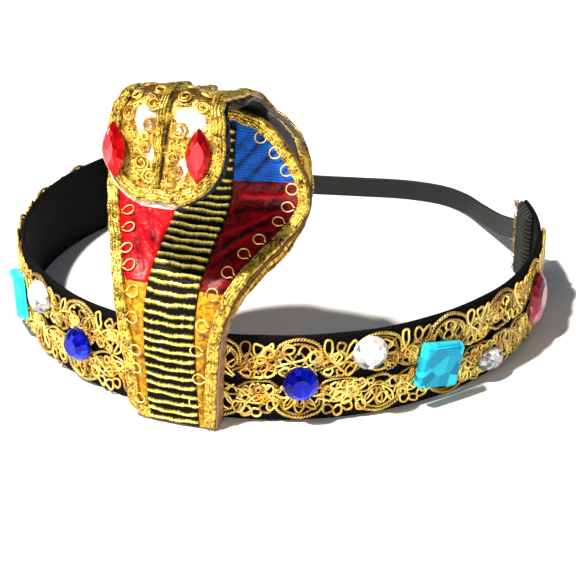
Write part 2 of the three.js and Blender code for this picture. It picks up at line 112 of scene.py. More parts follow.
def add_piece(name, shape, material, replaces, uv=None, values=None, face_values=None, sharp=50):
    """A new piece from points in mm about the ring's centre and their faces, turned to look outwards. uv
    and values are per point, face_values per face, and edges steeper than sharp degrees stay sharp."""
    points, faces = shape
    corners = points[faces]
    areas = np.cross(corners, np.roll(corners, -1, axis=1)).sum(axis=1)
    if (areas * corners.mean(axis=1)).sum() < 0:
        faces = faces[:, ::-1]
    mesh = bpy.data.meshes.new(name)
    mesh.vertices.add(len(points))
    placed = (points + (0, RING_CENTRE_Y, 0)) * MM
    mesh.vertices.foreach_set("co", placed.astype(np.float32).ravel())
    mesh.loops.add(faces.size)
    mesh.loops.foreach_set("vertex_index", faces.astype(np.int32).ravel())
    mesh.polygons.add(len(faces))
    starts = np.arange(0, faces.size, faces.shape[1], dtype=np.int32)
    mesh.polygons.foreach_set("loop_start", starts)
    mesh.polygons.foreach_set("use_smooth", np.ones(len(faces), bool))
    mesh.update(calc_edges=True)
    mesh.set_sharp_from_angle(angle=math.radians(sharp))
    if uv is not None:
        layer = mesh.uv_layers.new(name="cloth")
        layer.data.foreach_set("uv", uv.reshape(-1, 2)[faces].astype(np.float32).ravel())
    for domain, named in (("POINT", values), ("FACE", face_values)):
        for key, numbers in (named or {}).items():
            attribute = mesh.attributes.new(key, "FLOAT", domain)
            attribute.data.foreach_set("value", np.asarray(numbers, np.float32).ravel())
    piece = bpy.data.objects.new(name, mesh)
    bpy.context.scene.collection.objects.link(piece)
    mesh.materials.append(material)
    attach(piece, "root")
    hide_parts(*replaces)
    return piece


def linear(hex_colour):
    """An sRGB hex colour as linear RGBA."""
    srgb = np.array([int(hex_colour[i:i + 2], 16) for i in (1, 3, 5)]) / 255
    rgb = np.where(srgb <= 0.04045, srgb / 12.92, ((srgb + 0.055) / 1.055) ** 2.4)
    return (*rgb.tolist(), 1.0)


def connect(material, node, inputs):
    """Links a node's inputs where a socket is given, and sets the others, hex colours as linear ones."""
    for key, value in inputs.items():
        if isinstance(value, bpy.types.NodeSocket):
            material.node_tree.links.new(value, node.inputs[key])
        else:
            node.inputs[key].default_value = linear(value) if isinstance(value, str) else value


def add_node(material, kind, inputs, output=0, **settings):
    """Adds a shader node with its settings and inputs, and gives one of its outputs."""
    node = material.node_tree.nodes.new(f"ShaderNode{kind}")
    for key, value in settings.items():
        setattr(node, key, value)
    connect(material, node, inputs)
    return node.outputs[output]


def new_material(name):
    """A material with its principled shader."""
    material = bpy.data.materials.new(name)
    material.use_nodes = True
    return material, material.node_tree.nodes["Principled BSDF"]


def wave_scale(period):
    """Scale of a wave texture whose straight bands repeat after that distance in mm: its phase turns by 20
    in a unit. The uv maps are in mm, so a noise or cell texture's scale on them is its grains to the mm."""
    return 2 * math.pi / (20 * period)


def twill_tape(name, ground, worn_tint):
    """Cotton twill dyed black: dull and matte, greyer on the worn crests of its slanting ribs. The ribs are
    drawn 1.3 mm apart, coarser than the real ones, so that they show."""
    tape, shader = new_material(name)
    uv = add_node(tape, "UVMap", {}, uv_map="cloth")
    turned = add_node(tape, "Mapping", {"Vector": uv, "Rotation": (0, 0, math.radians(TAPE_RIB_LEAN))})
    ribs = add_node(
        tape, "TexWave", {"Vector": turned, "Scale": wave_scale(TAPE_RIB), "Distortion": 1.2}, "Fac"
    )
    lint = add_node(tape, "TexNoise", {"Vector": uv, "Scale": 0.35, "Detail": 6.0, "Roughness": 0.7})
    worn = add_node(tape, "Math", {0: ribs, 1: lint}, operation="MULTIPLY")
    colour = add_node(tape, "Mix", {0: worn, 6: ground, 7: worn_tint}, 2, data_type="RGBA")
    bump = add_node(tape, "Bump", {"Height": ribs, "Strength": 0.25, "Distance": 0.2 * MM})
    connect(tape, shader, {
        "Base Color": colour, "Roughness": 0.85, "Normal": bump, "Specular IOR Level": 0.1,
    })
    return tape


black_twill = twill_tape("black_cotton_twill", "#030304", "#121214")
tape_section = strip_profile(BAND_HEIGHT, TAPE_THICKNESS, flat_cells=16)
tape_angle = np.linspace(-BAND_END, BAND_END, 241)[:, None]
sway = TAPE_SWAY * np.sin(np.radians(tape_angle) * TAPE_SWAY_RATE) * (tape_section[:, 0] > 0)
tape_rings = on_band(
    tape_angle,
    BAND_HEIGHT / 2 + tape_section[:, 0] - np.abs(sway),
    BAND_RADIUS + tape_section[:, 1] + sway,
)
add_piece(
    "band_tape", closed(tape_rings), black_twill, ["band_backing"],
    uv=pairs(np.radians(tape_angle) * BAND_RADIUS, tape_section[:, 0]),
)


# Elastic strap
# A narrow black braided elastic joins the two ends of the band behind. It stands on edge, is knitted in
# ribs that run along it, and its ends are sewn into the folded ends of the tape.
STRAP_WIDTH = 8.0
STRAP_THICKNESS = 1.0
STRAP_RIB = 1.15
STRAP_RIB_DEPTH = 0.04
STRAP_KNIT = 1.1
STRAP_STEP = 1.2
HEM_RADIUS = 83.6
STRAP_END_HEIGHT = 16.5
STRAP_END_ANGLES = (119.5, 116.1, 112.7)
STRAP_ROUTE = [
    (-63, 60, 10), (-51, 74, 6.4), (-36, 81.6, 4.7), (-16, 86.2, 4.1), (0, 89.8, 4.05), (18, 93.2, 4.1),
    (33, 92.2, 4.25), (44, 85.4, 5), (53, 74, 6.6), (63, 59, 10),
]


def travelled(path):
    """Distance along a path at each of its points."""
    return np.concatenate([[0], np.cumsum(np.linalg.norm(np.diff(path, axis=0), axis=1))])


def smooth_path(points, step, loop=False):
    """A curve through points of any dimension, cut at equal steps of about the length given. It is a cubic
    between neighbouring points, with the slope at each taken from the points on either side."""
    points = np.asarray(points, float)
    if loop:
        padded = np.concatenate([points[-1:], points, points[:2]])
    else:
        padded = np.concatenate([2 * points[:1] - points[1:2], points, 2 * points[-1:] - points[-2:-1]])
    spans = len(padded) - 3
    place = np.linspace(0, spans, spans * 24 + 1)
    start = np.minimum(place.astype(int), spans - 1)
    t = (place - start)[:, None]
    a, b, c, d = (padded[start + i] for i in range(4))
    curve = b + 0.5 * t * (c - a + t * (2 * a - 5 * b + 4 * c - d + t * (3 * (b - c) + d - a)))
    distance = travelled(curve)
    cuts = np.linspace(0, distance[-1], max(6, round(distance[-1] / step)) + 1)
    even = np.stack([np.interp(cuts, distance, column) for column in curve.T], axis=-1)
    return even[:-1] if loop else even


def knitted_elastic():
    """Black braided elastic: rubber threads wrapped in yarn, slightly shiny, with a painted highlight of
    lighter grey on the crests of its ribs. The knit across them is drawn at 1.1 mm, coarser than the real
    one, so that it shows."""
    elastic, shader = new_material("black_braided_elastic")
    uv = add_node(elastic, "UVMap", {}, uv_map="cloth")
    knit = add_node(
        elastic, "TexWave", {"Vector": uv, "Scale": wave_scale(STRAP_KNIT), "Distortion": 0.6}, "Fac"
    )
    ridge = add_node(elastic, "Attribute", {}, "Fac", attribute_name="crest")
    # Lighter grey on the rib crests: a painted highlight.
    colour = add_node(elastic, "Mix", {0: ridge, 6: "#0e0e10", 7: "#16171a"}, 2, data_type="RGBA")
    bump = add_node(elastic, "Bump", {"Height": knit, "Strength": 0.45, "Distance": 0.15 * MM})
    connect(elastic, shader, {
        "Base Color": colour, "Roughness": 0.62, "Normal": bump, "Specular IOR Level": 0.3,
    })
    return elastic


strap_end = on_band(np.array(STRAP_END_ANGLES), STRAP_END_HEIGHT, HEM_RADIUS)
strap_line = smooth_path(
    np.concatenate([strap_end[::-1] * (-1, 1, 1), STRAP_ROUTE, strap_end]), STRAP_STEP
)
strap_ahead = unit(np.gradient(strap_line, axis=0))
strap_out = unit(strap_ahead[:, [1, 0, 2]] * (1, -1, 0))
strap_section = strip_profile(
    STRAP_WIDTH, STRAP_THICKNESS, flat_cells=40, rib=STRAP_RIB_DEPTH, rib_pitch=STRAP_RIB
)
strap_rings = (
    strap_line[:, None]
    + strap_section[:, :1] * (0, 0, 1)
    + strap_section[:, 1:] * strap_out[:, None]
)
strap_crest = 0.5 + 0.5 * np.cos(2 * np.pi * strap_section[:, 0] / STRAP_RIB)
add_piece(
    "elastic_tape", closed(strap_rings), knitted_elastic(), ["elastic_strap"],
    uv=pairs(STRAP_STEP * np.arange(len(strap_line))[:, None], strap_section[:, 0]),
    values={"crest": np.broadcast_to(strap_crest, strap_rings.shape[:2])},
)


# Folded ends of the tape
# Each end of the tape is turned inwards over the end of the elastic and sewn down, which makes a soft
# double pad. Its raw edge comes out at the end, and brown threads of the weave stick out of it in tufts.
HEM_START = 110.2
HEM_THICKNESS = 2.6
HEM_INSET = 0.5
HEM_PUCKER = 0.12
HEM_PUCKER_RATE = 7
HEM_EDGE_SHARE = 0.3
# How squarely the pad fills its outline, along the tape and up
HEM_POWERS = (8, 14)
# Middle height, spread and number of the threads of each tuft
TUFTS = [(26.4, 0.9, 16), (19.6, 0.9, 16), (10.8, 0.9, 14)]
FRAY_COUNT = 44
FRAY_RADIUS = 0.2
FRAY_ROOT = 0.8
FRAY_DEPTH = 0.5
FRAY_MARGIN = 1
FRAY_LOWEST = 0.4
# Least and greatest reach, lift and bend of a thread
FRAY_LIMITS = [(1.0, -0.6, -1.2), (3.0, 1.8, 1.2)]
# Share of a twisted cord's radius that is left in the grooves between its strands
GROOVE_SHARE = 0.62


def joined(parts):
    """Several (points, faces) shapes as one."""
    starts = np.cumsum([0] + [len(points) for points, _ in parts[:-1]])
    points = np.concatenate([points for points, _ in parts])
    return points, np.concatenate([faces + start for (_, faces), start in zip(parts, starts)])


def wall(front, back):
    """A sheet with two faces, given as grids of points, joined along their edges."""
    return closed(np.concatenate([front, back[:, ::-1]], axis=1))


def both_sides(grid):
    """Values or uv of one face of a wall, repeated for the other."""
    return np.concatenate([grid, grid[:, ::-1]], axis=1)


def cord(path, out, radius, sides=6, strands=1, pitch=1.0, loop=False):
    """A round cord along a path, out being the side that it is seen from. With several strands its section
    has as many lobes and turns once in each pitch. Gives the shape, and each point's crest from 0 to 1."""
    ahead = np.roll(path, -1, axis=0) - np.roll(path, 1, axis=0) if loop else np.gradient(path, axis=0)
    ahead = unit(ahead)
    side = unit(np.cross(ahead, out))
    up = np.cross(side, ahead)
    spoke = 2 * np.pi * np.arange(sides) / sides
    crest = 0.5 + 0.5 * np.cos(strands * spoke) if strands > 1 else np.ones(sides)
    reach = radius * (GROOVE_SHARE + (1 - GROOVE_SHARE) * crest)
    angle = spoke + (2 * np.pi * travelled(path) / pitch)[:, None] * (strands > 1)
    offset = np.cos(angle)[..., None] * side[:, None] + np.sin(angle)[..., None] * up[:, None]
    rings = path[:, None] + reach[:, None] * offset
    if loop:
        shape = rings.reshape(-1, 3), grid_faces(len(path), sides, wrap_rows=True, wrap_columns=True)
    else:
        shape = closed(rings)
    return shape, np.broadcast_to(crest, rings.shape[:2]).ravel()


def loose_thread():
    """Raw polyester yarn ends, dusty brown from glue."""
    yarn, shader = new_material("frayed_yarn")
    place = add_node(yarn, "TexCoord", {}, "Object")
    dust = add_node(yarn, "TexNoise", {"Vector": place, "Scale": 0.6 / MM, "Detail": 2.0})
    colour = add_node(yarn, "Mix", {0: dust, 6: "#1c130c", 7: "#b08a60"}, 2, data_type="RGBA")
    connect(yarn, shader, {"Base Color": colour, "Roughness": 0.8})
    return yarn


frayed_yarn = loose_thread()
worn_twill = twill_tape("worn_cotton_twill", "#111213", "#4e504e")
chance = np.random.default_rng(7)
for label, sign in (("left", -1), ("right", 1)):
    along, up = np.meshgrid(np.linspace(0, 1, 25), np.linspace(0, 1, 49), indexing="ij")
    along_power, up_power = HEM_POWERS
    rounding = np.sqrt((1 - np.abs(2 * along - 1) ** along_power) * (1 - np.abs(2 * up - 1) ** up_power))
    hem_angle = sign * (HEM_START + (BAND_END - HEM_START) * along)
    hem_height = HEM_INSET + (BAND_HEIGHT - 2 * HEM_INSET) * up
    outer = HEM_RADIUS + HEM_THICKNESS / 2
    depth = HEM_THICKNESS * (HEM_EDGE_SHARE + (1 - HEM_EDGE_SHARE) * rounding)
    inner = outer - depth + HEM_PUCKER * np.cos(HEM_PUCKER_RATE * np.pi * up) * rounding
    add_piece(
        f"folded_end_{label}",
        wall(on_band(hem_angle, hem_height, outer), on_band(hem_angle, hem_height, inner)),
        worn_twill, [f"end_hem_{label}"],
        uv=both_sides(pairs(np.radians(hem_angle) * HEM_RADIUS, hem_height)),
    )
    threads = []
    tufts = [chance.normal(*tuft) for tuft in TUFTS]
    scattered = chance.uniform(FRAY_MARGIN, BAND_HEIGHT - FRAY_MARGIN, FRAY_COUNT)
    steps = np.linspace(0, 1, 7)
    for height in np.concatenate([scattered, *tufts]):
        reach, lift, bend = chance.uniform(*FRAY_LIMITS)
        angle = sign * (BAND_END + np.degrees((reach * steps - FRAY_ROOT) / HEM_RADIUS))
        rise = np.clip(height + bend * steps**2, FRAY_LOWEST, BAND_HEIGHT)
        line = on_band(angle, rise, HEM_RADIUS - FRAY_DEPTH - lift * steps * (1 - 0.5 * steps))
        threads.append(cord(line, on_band(angle, 0, -1.0), FRAY_RADIUS, sides=4)[0])
    add_piece(f"frayed_threads_{label}", joined(threads), frayed_yarn, [])


# Gold lace
# Two rows of gold lace gimp with mirrored humps are sewn round the outside of the tape. Ropes of twisted
# metallic yarn make the humps and bridges, and thinner yarn makes the loops, rings and curls between them.
LACE_RADIUS = 87.75
LACE_CELLS = 14
LACE_PITCH = 15.6
LACE_MIDDLE = 14.5
LACE_FOOT = 0.6
LACE_JITTER = 0.24
CELL = math.radians(LACE_PITCH) * LACE_RADIUS
ROPE_STEP = 0.4
YARN_STEP = 0.5
ROPE = {"radius": 0.64, "sides": 6, "strands": 2, "pitch": 1.9}
FINE_ROPE = {"radius": 0.5, "sides": 6, "strands": 2, "pitch": 1.7}
YARN = {"radius": 0.39, "sides": 5}
# Loose rings in each cell, with the limits of their distance along, height, lift and radius
LOOSE_RINGS = 9
LOOSE_LIMITS = [(-6.5, 2.4, 0.2, 1.3), (17.0, 10.6, 0.6, 2.0)]
# Limits of each cord's random darkening, from dark to bright: partly tarnish, partly painted shade
LACE_TARNISH_AND_SHADE = (0.06, 0.62)
TEARDROP_WIDEST = 0.62


def teardrop(foot, tip, width):
    """A closed loop of yarn from its foot to its tip, widest at a share of the way."""
    foot, tip = np.array(foot), np.array(tip)
    along = tip - foot
    across = width / 2 * np.array([-along[1], along[0]]) / np.linalg.norm(along)
    widest = foot + TEARDROP_WIDEST * along
    return [foot, widest + across, tip, widest - across]


def ring(middle, radius):
    """A closed ring of yarn."""
    turn = np.arange(8) * np.pi / 4
    return pairs(middle[0] + radius * np.cos(turn), middle[1] + radius * np.sin(turn))


# Each cord of a cell: its kind, its lift, whether it is a closed loop, and points given by the distance
# along the band from the middle of the hump and the height above the band's middle line
SHARED_CORDS = [
    (ROPE, 0.1, False, [
        (-7.1, 4.2), (-7.0, 8.2), (-5.1, 11.3), (0, 13.0), (5.1, 11.3), (7.0, 8.2), (7.1, 4.2),
    ]),
    (FINE_ROPE, 0.2, False, [
        (-5.8, 4.8), (-5.7, 8.0), (-4.1, 10.1), (0, 11.6), (4.1, 10.1), (5.7, 8.0), (5.8, 4.8),
    ]),
    (ROPE, 0.0, False, [
        (-12, 4.8), (-9.2, 4.6), (-5.8, 3.2), (-2.6, 1.5), (0, 1.0), (2.6, 1.5), (5.8, 3.2), (12, 4.8),
    ]),
    (FINE_ROPE, 0.1, False, [(5.9, 2.6), (8.6, 0.9), (11.95, 0.6), (15.3, 0.9), (18.0, 2.6)]),
    (YARN, -0.25, False, [(-11.9, 1.6), (-8, 7.6), (-4, 3.0), (0, 8.6), (4, 3.0), (8, 7.6), (11.9, 1.6)]),
    (YARN, -0.3, False, [(-11.9, 8.2), (-8, 2.6), (-4, 8.8), (0, 3.6), (4, 8.8), (8, 2.6), (11.9, 8.2)]),
]
LACE_ROWS = {
    "upper": SHARED_CORDS + [
        (YARN, 0.35, False, [
            (-1.9, 10.3), (-3.6, 10.5), (-4.6, 9.1), (-3.8, 7.4), (-1.6, 5.2), (1.2, 2.9), (4.4, 0.6),
        ]),
        (YARN, 0.25, False, [
            (-6.4, 4.2), (-3, 5.2), (1.4, 6.4), (3.3, 8.3), (2.6, 10.2), (0.9, 10.7), (-0.3, 9.6),
            (0.4, 8.3),
        ]),
        (YARN, 0.15, False, [(4.8, 9.9), (3.0, 8.0), (1.7, 6.0), (2.8, 3.8), (5.2, 1.0)]),
        (YARN, 0.1, False, [(-6.2, 7.0), (-4.4, 4.6), (-1.4, 3.4), (2.2, 4.2), (5.6, 6.4)]),
        (YARN, 0.4, False, [
            (13.2, 1.6), (10.8, 4.2), (8.5, 6.6), (7.0, 9.2), (7.4, 11.8), (8.6, 12.4), (9.5, 11.0),
            (9.0, 8.2), (6.4, 4.6),
        ]),
        (YARN, 0.3, False, [
            (7.6, 4.9), (10.2, 6.8), (12.6, 8.2), (13.8, 10.0), (12.7, 11.6), (11.2, 10.9), (11.3, 9.0),
            (13, 7.2), (16, 4.9),
        ]),
        (YARN, 0.45, False, [(9.6, 3.4), (11.6, 4.9), (14.3, 6.4), (17.4, 7.9), (19.6, 8.8)]),
        (YARN, 0.2, True, teardrop((13.4, 6.0), (16.6, 11.6), 2.3)),
        (YARN, 0.25, True, ring((8.5, 2.2), 1.35)),
        (YARN, 0.3, True, ring((11.9, 1.6), 1.1)),
        (YARN, 0.2, True, teardrop((16.6, 5.0), (14.0, 0.4), 2.2)),
    ],
    "lower": SHARED_CORDS + [
        (YARN, 0.2, True, teardrop((-1.0, 4.6), (-4.2, 10.0), 2.5)),
        (YARN, 0.35, True, teardrop((0, 4.6), (-0.2, 11.0), 2.6)),
        (YARN, 0.2, True, teardrop((1.0, 4.6), (4.2, 10.0), 2.5)),
        (YARN, 0.3, False, [(-7.0, 4.6), (-4.0, 5.6), (0, 3.4), (4.0, 5.6), (7.0, 4.6)]),
        (YARN, 0.1, False, [
            (-5.0, 2.6), (-2.2, 3.6), (-1.6, 2.0), (-3.2, 1.6), (-3.4, 3.0), (0.4, 4.6), (4.8, 2.2),
        ]),
        (YARN, 0.35, True, ring((8.3, 10.2), 1.5)),
        (YARN, 0.25, True, ring((11.3, 10.9), 1.5)),
        (YARN, 0.35, True, ring((14.1, 9.5), 1.6)),
        (YARN, 0.3, False, [(5.6, 6.2), (8.0, 7.2), (10.0, 8.0), (12.4, 7.6), (15.0, 6.0), (18.2, 6.9)]),
        (YARN, 0.4, False, [
            (6.4, 3.2), (9.4, 5.6), (11.6, 7.6), (13.4, 6.6), (12.4, 4.6), (10.6, 5.4), (8.4, 8.2),
        ]),
        (YARN, 0.2, False, [
            (16.8, 8.4), (15.4, 5.4), (13.8, 3.0), (15.4, 2.0), (16.8, 3.2), (15.2, 5.0), (11.2, 6.6),
        ]),
        (YARN, 0.3, True, ring((8.0, 4.2), 1.2)),
        (YARN, 0.2, True, ring((10.6, 2.8), 1.1)),
        (YARN, 0.25, True, ring((13.2, 2.6), 1.1)),
    ],
}


def gold_yarn(name, light, deep):
    """Metallic yarn: gilt film wound round a thread, gilt on the crests of the strands and brown in the
    grooves, partly dirt and partly painted shade, and tarnished in patches."""
    yarn, shader = new_material(name)
    place = add_node(yarn, "TexCoord", {}, "Object")
    patches = add_node(yarn, "TexNoise", {"Vector": place, "Scale": 0.2 / MM, "Detail": 4.0})
    windings = add_node(yarn, "TexNoise", {"Vector": place, "Scale": 1.8 / MM, "Detail": 2.0})
    crest = add_node(yarn, "Attribute", {}, "Fac", attribute_name="crest")
    tone = add_node(yarn, "MapRange", {0: patches, 1: 0.38, 2: 0.56})
    gilt = add_node(yarn, "Mix", {0: tone, 6: deep, 7: light}, 2, data_type="RGBA")
    # Brown where the crest value is low, in the grooves and on darkened cords: partly dirt, partly painted
    # shade.
    shade = add_node(yarn, "MapRange", {0: crest, 2: 0.38})
    colour = add_node(yarn, "Mix", {0: shade, 6: "#6e430c", 7: gilt}, 2, data_type="RGBA")
    bump = add_node(yarn, "Bump", {"Height": windings, "Strength": 0.7, "Distance": 0.2 * MM})
    connect(yarn, shader, {"Base Color": colour, "Metallic": 0.5, "Roughness": 0.26, "Normal": bump})
    return yarn


def add_cords(name, cords, material, replaces):
    """Adds cords, given as their shapes and crests, as one piece."""
    shapes, crests = zip(*cords)
    add_piece(
        name, joined(shapes), material, replaces, values={"crest": np.concatenate(crests)}, sharp=180
    )


lace_yarn = gold_yarn("gilt_lace_yarn", "#fbe27a", "#d8a63a")
chance = np.random.default_rng(21)
for row_name, row_cords in LACE_ROWS.items():
    up = 1 if row_name == "upper" else -1
    cords = []
    for cell in range(LACE_CELLS):
        middle = (cell - (LACE_CELLS - 1) / 2) * CELL
        draws = chance.uniform(*LOOSE_LIMITS, (LOOSE_RINGS, 4))
        loose = [(YARN, lift, True, ring((x, y), radius)) for x, y, lift, radius in draws]
        for kind, lift, loop, points in row_cords + loose:
            points = np.asarray(points, float)
            # The last cell has no bridge to a next one
            if cell == LACE_CELLS - 1 and points[:, 0].max() > CELL / 2 + 1:
                continue
            points = points + chance.normal(0, LACE_JITTER, points.shape)
            line = smooth_path(points, YARN_STEP if kind is YARN else ROPE_STEP, loop)
            angle = np.degrees((middle + line[:, 0]) / LACE_RADIUS)
            height = np.clip(LACE_MIDDLE + up * line[:, 1], LACE_FOOT, None)
            path = on_band(angle, height, LACE_RADIUS + lift)
            shape, crest = cord(path, on_band(angle, 0, 1.0), loop=loop, **kind)
            # Each cord is darkened at random: partly tarnish, partly painted shade.
            cords.append((shape, crest * chance.uniform(*LACE_TARNISH_AND_SHADE)))
    add_cords(f"lace_{row_name}", cords, lace_yarn, [f"trim_{row_name}"])


# Front board of the hood
# The cobra's front is a stiff board cut to the hood's outline. It stands against the band, leans back over
# the neck and turns upright again behind the head, and all its facings are glued to it.
PANEL_BASE_Y = -92.9
PANEL_BASE_Z = 0.4
BOARD_THICKNESS = 1.2
CORNER_RADIUS = 7.0
STAIN_HEIGHTS = (28, 36)
# Length and turn in degrees of each straight or arc of the centre line
PANEL_BENDS = [(29, 0), (22, 60), (16.5, 0), (10.3, -49), (23, 0)]
# Distance up the hood and half its width
HOOD_OUTLINE = np.array([
    (0, 13.7), (15, 14.4), (30, 16), (40, 18.4), (50, 22.2), (60, 26.8), (70, 30.8), (77, 31.8),
    (84, 29.6), (90, 25.2), (95, 20.6), (98.5, 15.2), (100.8, 7),
])
HOOD_LENGTH = HOOD_OUTLINE[-1, 0]


def through(table, column, along):
    """A column of a table as a smooth function of its first column: a cubic between neighbouring rows, with
    the slope at each row taken from the rows on either side."""
    last = len(table) - 1
    start = np.clip(np.searchsorted(table[:, 0], along) - 1, 0, last - 1)
    row = np.arange(last + 1)
    before, after = np.maximum(row - 1, 0), np.minimum(row + 1, last)
    slope = (table[after, column] - table[before, column]) / (table[after, 0] - table[before, 0])
    span = table[start + 1, 0] - table[start, 0]
    t = (along - table[start, 0]) / span
    rise = t * t * (3 - 2 * t)
    pull = slope[start] * t * (1 - t) ** 2 - slope[start + 1] * t * t * (1 - t)
    low, high = table[start, column], table[start + 1, column]
    return low + (high - low) * rise + pull * span


def hood_point(x, along, lift):
    """A point over the front board, x across, along its centre line and lifted off its face. The centre
    line is a chain of straights and arcs: each adds its chord, at the mean of the leans at its two ends."""
    x, along, lift = np.broadcast_arrays(np.asarray(x, float), np.asarray(along, float), lift)
    y, z = np.full(along.shape, PANEL_BASE_Y), np.full(along.shape, PANEL_BASE_Z)
    lean, left = np.zeros(along.shape), along
    for length, turn in PANEL_BENDS:
        step = np.minimum(left, length)
        turned = math.radians(turn) * step / length
        chord = step * np.sinc(turned / (2 * np.pi))
        y = y + chord * np.sin(lean + turned / 2)
        z = z + chord * np.cos(lean + turned / 2)
        lean, left = lean + turned, left - step
    return np.stack([x, y - lift * np.cos(lean), z + lift * np.sin(lean)], axis=-1)


def hood_half_width(along):
    """Half the width of the hood at a distance up its front."""
    return through(HOOD_OUTLINE, 1, along)


def corner_cut(along):
    """How far the rounded left corner of the foot lies inside the straight edge: a quarter of a circle."""
    below = np.clip(CORNER_RADIUS - along, 0, CORNER_RADIUS)
    return CORNER_RADIUS - np.sqrt(CORNER_RADIUS**2 - below**2)


def stiff_board():
    """Grey-brown card stiffened with size, pinkish at the foot where the glue has soaked in, and dark brown
    higher up."""
    board, shader = new_material("sized_card")
    place = add_node(board, "TexCoord", {}, "Object")
    fibre = add_node(board, "TexNoise", {"Vector": place, "Scale": 0.5 / MM, "Detail": 5.0})
    height = add_node(board, "SeparateXYZ", {0: place}, "Z")
    upper = add_node(
        board, "MapRange", {0: height, 1: STAIN_HEIGHTS[0] * MM, 2: STAIN_HEIGHTS[1] * MM}
    )
    card = add_node(board, "Mix", {0: fibre, 6: "#8a6450", 7: "#d6ae98"}, 2, data_type="RGBA")
    colour = add_node(board, "Mix", {0: upper, 6: card, 7: "#6b4416"}, 2, data_type="RGBA")
    bump = add_node(board, "Bump", {"Height": fibre, "Strength": 0.4, "Distance": 0.15 * MM})
    connect(board, shader, {"Base Color": colour, "Roughness": 0.8, "Normal": bump})
    return board


board_along = np.linspace(0, HOOD_LENGTH, 121)[:, None]
board_across = np.linspace(-1, 1, 31)
board_x = board_across * (hood_half_width(board_along) - corner_cut(board_along) * (board_across < 0))
add_piece(
    "hood_board",
    wall(hood_point(board_x, board_along, 0), hood_point(board_x, board_along, -BOARD_THICKNESS)),
    stiff_board(), ["hood_front"],
)


# Facings of the hood
# Three cloths cover the board from side to side under the belly strip and the edge braid: amber satin at
# the foot, creased red satin over the neck and ribbed blue cloth at the top. Each laps the one below.
STRIP_HALF_WIDTH = 8.0
STRIP_SHIFT = 0.8
STRIP_SHIFT_LENGTH = 30.0
STRIP_LAP = 0.2
BRAID_WIDTH = 3.6
BRAID_GAP = 0.3
CLOTH_THICKNESS = 0.25
CLOTH_SEAT = 0.3
CLOTH_MARGIN = 1.0
LEAST_HALF_WIDTH = 4.0
ROWS_PER_MM = 2.2
SEAM_TILT = 0.1
LAP_LIP = 0.3
LAP_LIP_WIDTH = 0.5
CREASE_WAVES = 5
CREASE_LEANS = (0.35, 0.95)
CREASE_PITCHES = (4.0, 11.0)
CREASE_BEND = 1.6
CREASE_SEED = 3
CREASE_SHARE = 0.6
CREASE_LEVEL = 0.2
LEAST_RISE = 0.1
# How much creases and single folds lighten or darken the cloth: painted light on their ridges, painted
# shade in their valleys
CREASE_SHADE = 0.3
FOLD_SHADE = 0.4
# The top of a cloth is pressed flat under the next one: share of its length, and of its rise that is left
TUCK_LENGTH = 0.03
TUCK_RISE = 0.2
SATIN_WEAVE = 0.8


def strip_middle(along):
    """The belly strip runs up the middle, a little to the right at its foot."""
    return STRIP_SHIFT * np.maximum(0, 1 - along / STRIP_SHIFT_LENGTH) ** 2


def hood_slope(along):
    """How much the hood's half width grows in a millimetre."""
    return hood_half_width(along + 0.5) - hood_half_width(along - 0.5)


def creases(x, along, seed):
    """Folds of a stretched cloth from -1 to 1: the mean of waves that run outwards and upwards from the
    middle, each with sharp valleys and bent by a slower wave."""
    draw = np.random.default_rng(seed)
    total = np.zeros(np.broadcast(x, along).shape)
    for _ in range(CREASE_WAVES):
        lean, pitch = draw.uniform(*CREASE_LEANS), draw.uniform(*CREASE_PITCHES)
        phase = draw.uniform(0, 2 * np.pi)
        bend = CREASE_BEND * np.sin(0.13 * x + 0.09 * along + phase)
        wave = np.sin(np.pi * (along - lean * np.abs(x)) / pitch + bend + 2.0 * (x > 0) + phase)
        total += 2 * np.sqrt(np.abs(wave)) - 1
    return total / CREASE_WAVES


def single_folds(x, along, folds):
    """The sum of single folds: each a bell curve of the distance from the line between its two ends."""
    total = np.zeros(np.broadcast(x, along).shape)
    for x_from, along_from, x_to, along_to, half_width, rise in folds:
        length = math.hypot(x_to - x_from, along_to - along_from)
        ahead_x, ahead_along = (x_to - x_from) / length, (along_to - along_from) / length
        forward = np.clip((x - x_from) * ahead_x + (along - along_from) * ahead_along, 0, length)
        away = np.hypot(x - x_from - forward * ahead_x, along - along_from - forward * ahead_along)
        total += rise * np.exp(-((away / half_width) ** 2))
    return total


